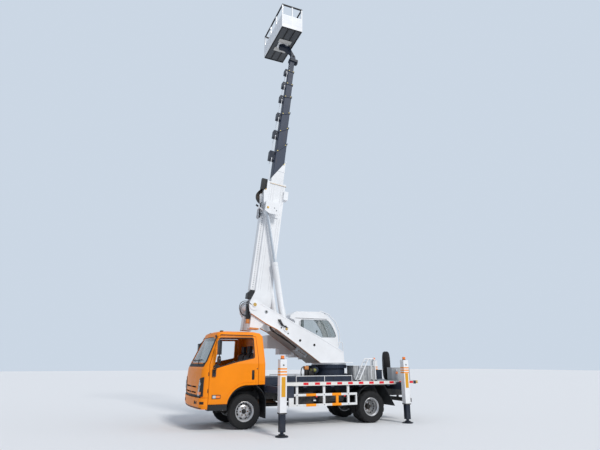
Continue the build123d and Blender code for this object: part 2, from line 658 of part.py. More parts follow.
# Turret: two side plates that lean forward over the cab, with the boom's pivot at their nose
PLATE_OUT, PLATE_IN = 450, 422
CYLINDER_FOOT = (1210, 2310)
CYLINDER_EYE = (650, 5600)
CYLINDER_Y = 300
PIVOT_PIN_R = 45
FOOT_PIN_R = 34
EYE_PIN_R = 28
POST_OUTLINE = ((180, 2900), (205, 2985), (270, 3035), (350, 3030), (440, 2970), (790, 2800), (1020, 2690),
                (1540, 2430), (2150, 2150), (2740, 1840), (2880, 1750), (2900, 1470), (2180, 1470),
                (1520, 1920), (960, 2290), (640, 2440), (250, 2670), (200, 2730))
NOSE_OUTLINE = ((262, 2678), (218, 2300), (460, 2285), (644, 2452))
CABIN_Y0, CABIN_Y1 = 500, 1150
CABIN_FLOOR = 1640
UNDERSIDE = ((2180, 1470), (1520, 1920), (960, 2290), (970, 2305), (1530, 1936), (2190, 1486))
UNDER_FLANGE = ((960, 2290), (640, 2440), (250, 2670), (258, 2683), (648, 2454), (970, 2305))
TOP_COVER = ((2880, 1750), (2740, 1840), (2150, 2150), (1750, 2322), (1744, 2308), (2144, 2136),
             (2732, 1827), (2868, 1738))
with BuildPart() as turret_post:
    for s in (-1, 1):
        low, high = sorted((s * PLATE_IN, s * PLATE_OUT))
        profile(POST_OUTLINE, low, high)
        rod_y(PIVOT_X, PIVOT_Z, min(s * PLATE_IN, s * 462), max(s * PLATE_IN, s * 462), 145)
        rod_y(PIVOT_X, PIVOT_Z, min(s * PLATE_IN, s * 478), max(s * PLATE_IN, s * 478), 62)
        rod_y(*CYLINDER_FOOT, min(s * PLATE_IN, s * 468), max(s * PLATE_IN, s * 468), 70)
        low, high = sorted((s * (PLATE_IN - 38), s * (PLATE_OUT + 20)))
        profile(UNDER_FLANGE, low, high)
        low, high = sorted((s * 215, s * 425))
        profile(NOSE_OUTLINE, low, high)
    profile(UNDERSIDE, -PLATE_OUT - 20, PLATE_OUT)
    profile(((2900, 1470), (2880, 1750), (2868, 1744), (2886, 1470)), -PLATE_OUT, PLATE_OUT)
    profile(TOP_COVER, -PLATE_OUT, PLATE_OUT)
    profile(((1500, 1940), (1514, 1930), (1514, 2270), (1500, 2270)), -PLATE_IN, PLATE_IN)
    rod_y(PIVOT_X, PIVOT_Z, -480, 480, PIVOT_PIN_R)
    rod_y(*CYLINDER_FOOT, -472, 472, FOOT_PIN_R)
    rod_z(SLEW_X, 0, SLEW_TOP + 6, 1470, 470)
    block(2160, 3140, -490, 490, 1466, 1486)
    block(1900, 3150, PLATE_OUT - 2, CABIN_Y1, 1615, CABIN_FLOOR)
    for x in (2000, 2600):
        block(x, x + 60, PLATE_OUT - 2, 640, 1560, 1616)
save(turret_post, "turret_post")

# Oil tank and valve boxes on the right of the turret
with BuildPart() as oil_tank:
    block(1010, 1750, PLATE_OUT, 900, 1850, 2200)
    block(1360, 1720, PLATE_OUT, 740, 1690, 1850)
save(oil_tank, "oil_tank")

# Operator's cabin on the right of the turret, facing rearwards, with a hinged door on its outer side
CABIN_WALL = 30
CABIN_OUTLINE = ((1830, CABIN_FLOOR), (1830, 2650), (1700, 2690), (1715, 2780), (1900, 2890), (2660, 2905),
                 (2890, 2810), (3080, 2610), (3190, 2380), (3230, 2160), (3220, CABIN_FLOOR))
CABIN_SIDE_WINDOW = ((2035, 2180), (2030, 2655), (2890, 2665), (3010, 2530), (3110, 2350), (3160, 2190))
GUARD_ARC = ((2640, 2888), (2660, 2935), (2940, 2840), (3165, 2625), (3290, 2330), (3285, 2050),
             (3212, 1880))
DOOR_OUTLINE = ((2330, 1700), (2330, 2850), (2660, 2855), (2860, 2735), (3045, 2480), (3150, 2180),
                (3150, 1700))
DOOR_WINDOW = ((2400, 2000), (2400, 2780), (2640, 2785), (2810, 2670), (2970, 2440), (3075, 2170),
               (3070, 2000))


def outline_at(points, amount):
    """Sketch of a side outline at y = 0, grown by an amount."""
    with BuildSketch(side(0)) as face:
        with BuildLine():
            Polyline(*[(at(x), z) for x, z in points], close=True)
        make_face()
        if amount:
            offset(amount=amount, kind=Kind.INTERSECTION)
    return face.sketch


def prism(points, amount, y0, y1):
    """Solid of a grown side outline between two values of y."""
    return extrude(outline_at(points, amount), amount=y1 - y0, mode=Mode.PRIVATE).moved(Location((0, y1, 0)))


with BuildPart() as operator_cabin:
    add(prism(CABIN_OUTLINE, 0, CABIN_Y0, CABIN_Y1))
    add(prism(CABIN_OUTLINE, -CABIN_WALL, CABIN_Y0 + CABIN_WALL, CABIN_Y1 - CABIN_WALL), mode=Mode.SUBTRACT)
    add(prism(CABIN_SIDE_WINDOW, 0, CABIN_Y0 - 10, CABIN_Y0 + 60), mode=Mode.SUBTRACT)
    add(prism(DOOR_OUTLINE, 4, CABIN_Y1 - 60, CABIN_Y1 + 10), mode=Mode.SUBTRACT)
    block(1900, 2280, CABIN_Y1 - 60, CABIN_Y1 + 10, 2000, 2700, mode=Mode.SUBTRACT)
    block(2950, 3300, CABIN_Y0 + 60, CABIN_Y1 - 60, 1900, 2500, mode=Mode.SUBTRACT)
    block(2800, 3300, CABIN_Y0 + 60, CABIN_Y1 - 60, 2480, 2780, mode=Mode.SUBTRACT)
    block(1700, 1900, CABIN_Y0 + 80, CABIN_Y1 - 80, 2050, 2600, mode=Mode.SUBTRACT)
    for y in (CABIN_Y0 + 16, CABIN_Y1 - 16):
        bent_tube([(x, y, z) for x, z in GUARD_ARC], 13, 30)
    y = CABIN_Y0 + 16
    bent_tube(((3210, y, 2040), (3380, y, 2055), (3400, y, 1700), (3210, y, 1692)), 11, 50)
save(operator_cabin, "operator_cabin")

with BuildPart() as operator_door:
    add(prism(DOOR_OUTLINE, 0, CABIN_Y1 - CABIN_WALL, CABIN_Y1))
    add(prism(DOOR_WINDOW, 0, CABIN_Y1 - 60, CABIN_Y1 + 10), mode=Mode.SUBTRACT)
save(operator_door, "operator_door")

with BuildPart() as operator_glass:
    add(prism(CABIN_SIDE_WINDOW, -1, CABIN_Y0 + 10, CABIN_Y0 + 16))
    with BuildPart(mode=Mode.PRIVATE) as front_pane:
        add(prism(CABIN_OUTLINE, -10, CABIN_Y0 + 62, CABIN_Y1 - 62))
        add(prism(CABIN_OUTLINE, -16, CABIN_Y0, CABIN_Y1), mode=Mode.SUBTRACT)
        block(2951, 3300, CABIN_Y0, CABIN_Y1, 1902, 2779, mode=Mode.INTERSECT)
    add(front_pane.part - operator_cabin.part)
save(operator_glass, "operator_glass")

with BuildPart() as operator_seat:
    block(2150, 2620, 620, 1030, 1900, 1990)
    block(2300, 2500, 720, 930, CABIN_FLOOR + CABIN_WALL, 1900)
    profile(((2080, 1990), (2170, 1990), (2130, 2560), (2050, 2550)), 640, 1010)
    block(2080, 2180, 640, 1010, 1940, 2000)
    for y in (580, 1040):
        block(2200, 2600, y, y + 60, 2110, 2150)
        block(2360, 2420, y, y + 60, 1960, 2110)
        rod_z(2560, y + 30, 2150, 2240, 12)
    block(2360, 2420, 580, 1100, 1940, 1970)
save(operator_seat, "operator_seat")

# Boom: nine telescoping box sections on one axis that leans rearwards, 265 mm behind the pivot
LEAN = math.radians(BOOM_LEAN)
AXIS_OFFSET = 265
PIVOT = Vector(at(PIVOT_X), 0, PIVOT_Z)
BOOM_ACROSS = Vector(math.cos(LEAN), 0, -math.sin(LEAN))
BOOM_ALONG = Vector(math.sin(LEAN), 0, math.cos(LEAN))
BOOM_SIDE = Plane(origin=PIVOT, x_dir=BOOM_ACROSS, z_dir=(0, -1, 0))
BOOM_AXIS = Plane(origin=PIVOT + BOOM_ACROSS * AXIS_OFFSET, x_dir=BOOM_ACROSS, z_dir=BOOM_ALONG)
BASE_DEPTH, BASE_WIDTH, BASE_WALL = 480, 360, 8
BASE_SHIFT = 20
BASE_END = 3615
BAND = 55
BAND_OUT = 16


def boom_plate(points, y0, y1, mode=Mode.ADD):
    """Plate with an outline across and along the boom, measured from the pivot."""
    with BuildSketch(BOOM_SIDE.offset(-y1)) as outline:
        with BuildLine():
            Polyline(*points, close=True)
        make_face()
    extrude(outline.sketch, amount=y1 - y0, mode=mode)


def boom_tube(depth, width, wall, low, high, mode=Mode.ADD, shift=0):
    """Box section round the boom's axis, or beside it by a shift across. Wall 0 makes it solid."""
    with BuildSketch(BOOM_AXIS.offset(low)) as section:
        with Locations((shift, 0)):
            RectangleRounded(depth, width, min(24, depth / 8))
            if wall:
                RectangleRounded(depth - 2 * wall, width - 2 * wall, min(16, depth / 12), mode=Mode.SUBTRACT)
    extrude(section.sketch, amount=high - low, mode=mode)


def slant_cut(depth, front, rear):
    """Cut a section's end off along its slanted edge."""
    left, right = AXIS_OFFSET - depth / 2, AXIS_OFFSET + depth / 2
    slope = (rear - front) / depth
    if slope:
        boom_plate(((left - 50, front - 50 * slope), (right + 50, rear + 50 * slope),
                    (left - 50, rear + 90)), -300, 300, mode=Mode.SUBTRACT)


def slanted_band(depth, width, wall, front, rear, height, out):
    """Collar round a section's end that follows its slanted edge."""
    with BuildPart() as band:
        boom_tube(depth + 2 * out, width + 2 * out, out + wall, front - height - 20, rear + 20)
        across = (AXIS_OFFSET - depth / 2, AXIS_OFFSET + depth / 2)
        slope = (rear - front) / depth
        far_front, far_rear = front - 60 * slope, rear + 60 * slope
        boom_plate(((across[0] - 60, far_front - height), (across[1] + 60, far_rear - height),
                    (across[1] + 60, far_rear), (across[0] - 60, far_front)), -300, 300, mode=Mode.INTERSECT)
    return band.part


with BuildPart() as base_boom:
    boom_tube(BASE_DEPTH, BASE_WIDTH, BASE_WALL, -60, BASE_END, shift=BASE_SHIFT)
    boom_tube(BASE_DEPTH + 24, BASE_WIDTH + 2 * BAND_OUT, 0, BASE_END - 60, BASE_END, shift=BASE_SHIFT)
    boom_tube(390, 320, 0, BASE_END - 70, BASE_END + 5, mode=Mode.SUBTRACT)
    boom_tube(BASE_DEPTH + 12, BASE_WIDTH + 12, 6 + BASE_WALL, -60, 420, shift=BASE_SHIFT)
    front_face = AXIS_OFFSET + BASE_SHIFT - BASE_DEPTH / 2
    rear_face = front_face + BASE_DEPTH
    for s in (-1, 1):
        low, high = sorted((s * 162, s * 186))
        boom_plate(((-70, -60), (70, -60), (200, -60), (200, 420), (60, 420), (-70, 80)), low, high)
        low, high = sorted((s * 176, s * 190))
        boom_plate(((front_face + 5, 2905), (-60, 2905), (-112, 3270), (-105, 3300), (-35, 3340),
                    (-35, BASE_END), (front_face + 5, BASE_END)), low, high)
        low, high = sorted((s * 178, s * 202))
        boom_plate(((front_face, 2540), (400, 2540), (400, 2920), (front_face, 2920)), low, high)
        low, high = sorted((s * 386, s * 408))
        boom_plate(((-60, 2620), (60, 2560), (340, 2560), (340, 2900), (-60, 2900)), low, high)
        low, high = sorted((s * 178, s * 408))
        boom_plate(((-60, 2882), (340, 2882), (340, 2900), (-60, 2900)), low, high)
    rod_y(PIVOT_X, PIVOT_Z, -410, 410, 88)
    rod_y(PIVOT_X, PIVOT_Z, -420, 420, PIVOT_PIN_R + 0.05, mode=Mode.SUBTRACT)
    boom_plate(((-78, 430), (front_face + 4, 430), (front_face + 4, 2560), (-78, 2500)), -110, 110)
    boom_plate(((rear_face - 40, 3130), (rear_face + 90, 3130), (rear_face + 90, 3390),
                (rear_face - 40, 3390)), -245, -60)
save(base_boom, "base_boom")

# Hose reel behind the head cheeks, the hose guide at the head and the cable guide at the trough's foot
with BuildPart() as hose_reel:
    with Locations(Location(PIVOT + BOOM_ACROSS * 40 + BOOM_ALONG * 3250 + Vector(0, 245, 0), (90, 0, 0))):
        Cylinder(235, 70)
        Cylinder(50, 108)
    boom_plate(((-130, 3410), (front_face - 12, 3410), (front_face - 12, 3760), (-130, 3760)), 60, 165)
    boom_plate(((-20, 3400), (front_face - 1, 3400), (front_face - 1, 3500), (-20, 3500)), 75, 155)
    boom_plate(((-140, 190), (front_face - 6, 190), (front_face - 6, 415), (-60, 415), (-140, 330)),
               -150, 40)
save(hose_reel, "hose_reel")

TELESCOPE_OUT, TELESCOPE_IN = 2300, 240
SECTIONS = (
    # number, depth, width, wall, foot, front edge, rear edge, guide box out, guide box height
    (2, 380, 310, 8, 550, 3745, 4375, 0, 0),
    (3, 310, 270, 6, 1000, 4640, 4980, 150, 290),
    (4, 285, 245, 6, 1450, 5345, 5540, 130, 230),
    (5, 260, 220, 6, 1900, 5970, 6080, 115, 220),
    (6, 235, 195, 6, 2350, 6615, 6660, 105, 205),
    (7, 210, 170, 6, 2800, 7120, 7120, 95, 190),
    (8, 185, 145, 6, 3250, 7610, 7610, 88, 180),
)
for number, depth, width, wall, foot, front, rear, box_out, box_height in SECTIONS:
    with BuildPart() as section:
        boom_tube(depth, width, wall, foot, rear)
        slant_cut(depth, front, rear)
        if box_out:
            add(slanted_band(depth, width, wall, front, rear, BAND, BAND_OUT))
            skin = AXIS_OFFSET - depth / 2
            face = skin - BAND_OUT
            box_foot = front - box_height
            boom_plate(((face - box_out, box_foot), (face + 12, box_foot), (face + 12, front),
                        (face - box_out, front)), -75, 75)
            boom_plate(((face - 4, box_foot), (skin + 1, box_foot), (skin + 1, front - 10),
                        (face - 4, front - 10)), -60, 60)
        else:
            boom_tube(depth + 2 * BAND_OUT, width + 2 * BAND_OUT, BAND_OUT + wall, rear - 45, rear)
            boom_tube(depth + 16, width + 16, 8 + wall, 4000, 4035)
            slant_cut(depth, front, rear)
    save(section, f"boom_section_{number}")

# Head of the boom: the last section carries a fork for the basket's levelling pin
HEAD_S = 8165
HEAD_PIN = PIVOT + BOOM_ACROSS * AXIS_OFFSET + BOOM_ALONG * HEAD_S
with BuildPart() as head_section:
    boom_tube(160, 120, 8, 3700, 8060)
    boom_tube(176, 136, 0, 8040, 8090)
    for s in (-1, 1):
        low, high = sorted((s * 74, s * 90))
        boom_plate(((AXIS_OFFSET - 70, 8000), (AXIS_OFFSET + 70, 8000), (AXIS_OFFSET + 85, 8120),
                    (AXIS_OFFSET + 50, HEAD_S + 45), (AXIS_OFFSET - 50, HEAD_S + 45),
                    (AXIS_OFFSET - 85, 8120)), low, high)
    boom_tube(150, 180, 0, 8040, 8070)
    with Locations(Location(HEAD_PIN, (90, 0, 0))):
        Cylinder(24.95, 200)
save(head_section, "boom_section_9")

# Luffing cylinders, one each side of the boom: barrels on the turret's pins, rods up to the boom
FOOT = Vector(at(CYLINDER_FOOT[0]), 0, CYLINDER_FOOT[1])
EYE = Vector(at(CYLINDER_EYE[0]), 0, CYLINDER_EYE[1])
STROKE_DIR = (EYE - FOOT).normalized()
CYLINDER_LENGTH = (EYE - FOOT).length
BARREL_LENGTH = 1780
BARREL_TUBES = (
    # start along the cylinder, end, radius
    (50, BARREL_LENGTH, 80),
    (BARREL_LENGTH - 70, BARREL_LENGTH + 10, 86),
)
BARREL_BORES = (
    # start along the cylinder, end, radius
    (150, BARREL_LENGTH - 90, 62),
    (BARREL_LENGTH - 100, BARREL_LENGTH + 20, 45.5),
)
ROD_START = 1650


def along_cylinder(low, start, end, radius, mode=Mode.ADD):
    """Round bar on a luffing cylinder's axis, between two distances from its foot at low."""
    with Locations(Plane(origin=low + STROKE_DIR * (start + end) / 2, z_dir=STROKE_DIR)):
        Cylinder(radius, end - start, mode=mode)


with BuildPart() as luff_barrels:
    for s in (-1, 1):
        low = FOOT + Vector(0, s * CYLINDER_Y, 0)
        for row in BARREL_TUBES:
            along_cylinder(low, *row)
        with Locations(Location(low, (90, 0, 0))):
            Cylinder(78, 120)
        for row in BARREL_BORES:
            along_cylinder(low, *row, mode=Mode.SUBTRACT)
        with Locations(Location(low, (90, 0, 0))):
            Cylinder(FOOT_PIN_R + 0.05, 140, mode=Mode.SUBTRACT)
save(luff_barrels, "luff_barrels")

with BuildPart() as luff_rods:
    for s in (-1, 1):
        along_cylinder(FOOT + Vector(0, s * CYLINDER_Y, 0), ROD_START, CYLINDER_LENGTH - 20, 40)
        with Locations(Location(EYE + Vector(0, s * CYLINDER_Y, 0), (90, 0, 0))):
            Cylinder(52, 110)
            Cylinder(EYE_PIN_R, 130, mode=Mode.SUBTRACT)
save(luff_rods, "luff_rods")

# Basket: a level bracket on the head pin, a swivel post and the work cage with its gate
SWIVEL_X = 1170
CAGE_X0, CAGE_X1, CAGE_HALF = 830, 1510, 835
CAGE_FLOOR, CAGE_TOP = 11360, 12200
HEAD_X = HEAD_PIN.X - DATUM_X
with BuildPart() as level_bracket:
    rod_y(HEAD_X, HEAD_PIN.Z, -70, 70, 52)
    arm = ((-45, -35), (45, -35), (50, 60), (-120, 335), (-440, 335), (-440, 235), (-250, 228), (-62, 105))
    profile([(HEAD_X + dx, HEAD_PIN.Z + dz) for dx, dz in arm], -60, 60)
    rod_y(HEAD_X, HEAD_PIN.Z, -80, 80, 25, mode=Mode.SUBTRACT)
    rod_z(SWIVEL_X, 0, 11270, 11325, 120)
    rod_z(SWIVEL_X, 0, 11320, 11420, 35 - 0.05)
save(level_bracket, "level_bracket")

with BuildPart() as basket:
    block(CAGE_X0, CAGE_X1, -CAGE_HALF, CAGE_HALF, CAGE_FLOOR, CAGE_FLOOR + 30)
    block(SWIVEL_X - 160, SWIVEL_X + 160, -260, 260, 11332, CAGE_FLOOR)
    rod_z(SWIVEL_X, 0, 11300, 11425, 35, mode=Mode.SUBTRACT)
    rod_z(SWIVEL_X, 0, 11425, 11440, 60)
    for z, size in ((CAGE_TOP - 35, 35), (CAGE_FLOOR + 430, 30), (CAGE_FLOOR + 30, 100)):
        block(CAGE_X0, CAGE_X1, -CAGE_HALF, CAGE_HALF, z, z + size)
        block(CAGE_X0 + 35, CAGE_X1 - 35, 35 - CAGE_HALF, CAGE_HALF - 35, z, z + size, mode=Mode.SUBTRACT)
    for x in (CAGE_X0, CAGE_X1 - 35):
        for y in (-CAGE_HALF, -300, 265, CAGE_HALF - 35):
            block(x, x + 35, y, y + 35, CAGE_FLOOR, CAGE_TOP)
    for y in (-CAGE_HALF, CAGE_HALF - 35):
        block((CAGE_X0 + CAGE_X1) / 2 - 17, (CAGE_X0 + CAGE_X1) / 2 + 18, y, y + 35, CAGE_FLOOR, CAGE_TOP)
    block(CAGE_X0 - 5, CAGE_X0 + 40, -265, 265, CAGE_FLOOR + 30, CAGE_TOP + 5, mode=Mode.SUBTRACT)
save(basket, "basket")

with BuildPart() as basket_gate:
    block(CAGE_X0, CAGE_X0 + 35, -259, 259, CAGE_FLOOR + 36, CAGE_TOP)
    block(CAGE_X0 - 5, CAGE_X0 + 40, -225, 225, CAGE_FLOOR + 136, CAGE_FLOOR + 430, mode=Mode.SUBTRACT)
    block(CAGE_X0 - 5, CAGE_X0 + 40, -225, 225, CAGE_FLOOR + 460, CAGE_TOP - 35, mode=Mode.SUBTRACT)
save(basket_gate, "basket_gate")

# Outriggers: sliding beams in front with their jack boxes, and four legs with foot plates
LEG_W = 120
LEG_TOP = 1100
FOOT_R = 135
for s, name, beam_x, jack in ((-1, "left", LEFT_BEAM_X, LEFT_JACK), (1, "right", RIGHT_BEAM_X, RIGHT_JACK)):
    with BuildPart() as beam:
        jack_box(*jack)
        end = abs(jack[1]) + JACK_BOX / 2
        low, high = sorted((s * end, s * 250))
        block(beam_x - BEAM_W / 2, beam_x + BEAM_W / 2, low, high, BEAM_Z0, BEAM_Z1)
        low, high = sorted((s * end, s * (end - JACK_BOX)))
        block(jack[0] + JACK_BOX / 2 - 5, beam_x + BEAM_W / 2, low, high, BEAM_Z0 - 60, BEAM_Z1 + 40)
    save(beam, f"{name}_front_beam")
for name, (x, y) in (("left_front", LEFT_JACK), ("right_front", RIGHT_JACK), ("left_rear", REAR_JACKS[0]),
                     ("right_rear", REAR_JACKS[1])):
    with BuildPart() as leg:
        block(x - LEG_W / 2, x + LEG_W / 2, y - LEG_W / 2, y + LEG_W / 2, 95, LEG_TOP)
        rod_z(x, y, 50, 98, 38)
        rod_z(x, y, 22, 55, 70)
        rod_z(x, y, 0, 22, FOOT_R)
    save(leg, f"{name}_leg")
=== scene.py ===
import json
from math import cos, pi, radians, sin

import bmesh
import bpy
from mathutils import Matrix, Vector
from mathutils.bvhtree import BVHTree


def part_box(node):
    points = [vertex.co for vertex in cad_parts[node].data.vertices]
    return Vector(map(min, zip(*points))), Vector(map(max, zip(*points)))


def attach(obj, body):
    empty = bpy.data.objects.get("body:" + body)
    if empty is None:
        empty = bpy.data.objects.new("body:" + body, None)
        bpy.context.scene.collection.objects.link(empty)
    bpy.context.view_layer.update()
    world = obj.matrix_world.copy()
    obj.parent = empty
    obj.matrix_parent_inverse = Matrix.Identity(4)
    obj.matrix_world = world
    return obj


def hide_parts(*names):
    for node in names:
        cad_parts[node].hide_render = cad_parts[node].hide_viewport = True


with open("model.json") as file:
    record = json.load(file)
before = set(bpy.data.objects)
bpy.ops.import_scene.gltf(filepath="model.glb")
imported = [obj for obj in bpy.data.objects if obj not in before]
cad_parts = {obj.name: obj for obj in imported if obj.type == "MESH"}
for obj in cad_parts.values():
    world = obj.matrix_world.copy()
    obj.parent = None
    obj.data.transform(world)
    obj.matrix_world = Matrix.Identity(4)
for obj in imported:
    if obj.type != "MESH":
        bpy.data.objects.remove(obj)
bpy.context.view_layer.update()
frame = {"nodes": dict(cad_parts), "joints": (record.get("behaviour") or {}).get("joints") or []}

NODES = frame["nodes"]
X, Y, Z = Vector((1, 0, 0)), Vector((0, 1, 0)), Vector((0, 0, 1))
BOTH = (-1, 1)

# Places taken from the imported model, in metres
FRONT_WHEEL_X = 0.035
DATUM_X = (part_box("front_left_tyre")[0].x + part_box("front_left_tyre")[1].x) / 2 - FRONT_WHEEL_X
REAR_WHEEL_X = FRONT_WHEEL_X + 3.36
JOINTS = {joint["name"]: joint for joint in frame["joints"]}
PIVOT = Vector(JOINTS["luff"]["pos_m"])
ALONG = Vector(JOINTS["telescope_2"]["axis"]).normalized()
STROKE = Vector(JOINTS["rod_slide"]["axis"]).normalized()
ACROSS = Vector((ALONG.z, 0, -ALONG.x))
BOOM_AXIS = 0.265


def at(x):
    """Row position of a place measured rearwards from the datum of the CAD source."""
    return DATUM_X + x


def spot(x, y, z):
    return Vector((at(x), y, z))


def on_boom(across, y, along):
    """Row position of a place given across and along the boom, from its pivot."""
    return PIVOT + ACROSS * across + ALONG * along + Vector((0, y, 0))


def neighbours(points):
    """Each point of a closed outline, with the one before and the one after it."""
    points = [Vector(p) for p in points]
    return zip(points[-1:] + points[:-1], points, points[1:] + points[:1])


def rounded(points, radius, steps=4):
    """Closed outline in two coordinates with its corners rounded."""
    out = []
    for before, here, after in neighbours(points):
        back, onward = before - here, after - here
        reach = min(radius, back.length / 2.2, onward.length / 2.2)
        a, b = here + back.normalized() * reach, here + onward.normalized() * reach
        for t in (i / steps for i in range(steps + 1)):
            out.append(a * (1 - t) ** 2 + here * 2 * t * (1 - t) + b * t ** 2)
    return out


def grown(points, amount):
    """Closed outline in two coordinates moved outwards by an amount."""
    sign = 1 if sum(a.x * b.y - b.x * a.y for a, b, _ in neighbours(points)) > 0 else -1
    out = []
    for before, here, after in neighbours(points):
        a, b = (here - before).normalized(), (after - here).normalized()
        normal = Vector((a.y + b.y, -a.x - b.x)).normalized() * sign
        out.append(here + normal * amount / max(0.4, normal.dot(Vector((a.y, -a.x)) * sign)))
    return out


def ways(points, loop):
    """Direction of a run of places at each of them."""
    before = [points[-1 if loop else 0]] + points[:-1]
    after = points[1:] + [points[0 if loop else -1]]
    return [b - a for a, b in zip(before, after)]


def smooth_run(points, steps=6):
    """Points of a smooth curve through the given ones."""
    points = [Vector(p) for p in points]
    out = []
    for k in range(len(points) - 1):
        p0, p1, p2, p3 = points[max(k - 1, 0)], points[k], points[k + 1], points[min(k + 2, len(points) - 1)]
        for i in range(steps):
            t = i / steps
            out.append((p1 * 2 + (p2 - p0) * t + (p0 * 2 - p1 * 5 + p2 * 4 - p3) * t * t
                        + (p1 * 3 - p0 - p2 * 3 + p3) * t ** 3) / 2)
    return out + [points[-1]]


SKINS = {}


def skin(node, origin, direction):
    """Where a line meets a CAD node: the place and its outward normal."""
    if node not in SKINS:
        data = NODES[node].data
        SKINS[node] = BVHTree.FromPolygons([v.co for v in data.vertices], [p.vertices for p in data.polygons])
    place, normal, _, _ = SKINS[node].ray_cast(Vector(origin), Vector(direction))
    if place is None:
        return None
    if normal.dot(Vector(direction)) > 0:
        normal = -normal
    return place, normal


# Where lines of sight start, ahead of the truck and beside it
AHEAD = -2.2
ASIDE = 2.4


def seen_front(node, y, z):
    """Place and normal on a CAD node seen from the front."""
    return skin(node, spot(AHEAD, y, z), X)


def seen_side(node, x, s, z):
    """Place and normal on a CAD node seen from one side."""
    return skin(node, spot(x, s * ASIDE, z), -s * Y)


def front_run(outline, node="cab_shell"):
    """Places and normals along an outline seen from the front."""
    return [hit for hit in (seen_front(node, y, z) for y, z in outline) if hit]


def side_run(outline, s, node):
    """Places and normals along an outline seen from one side."""
    return [hit for hit in (seen_side(node, x, s, z) for x, z in outline) if hit]


def row(start, step, count, level):
    """Evenly spaced places at one level."""
    return [(start + step * k, level) for k in range(count)]


def turns(count, start=0.0):
    """Angles once round in equal steps."""
    return [2 * pi * (k + start) / count for k in range(count)]


def circle(centre, u, v, count):
    """Points round a centre, with u and v as the arms of the circle."""
    return [centre + u * cos(t) + v * sin(t) for t in turns(count)]


def placed(name, data):
    """New object of the scene."""
    obj = bpy.data.objects.new(name, data)
    bpy.context.scene.collection.objects.link(obj)
    return obj


PIECES = []


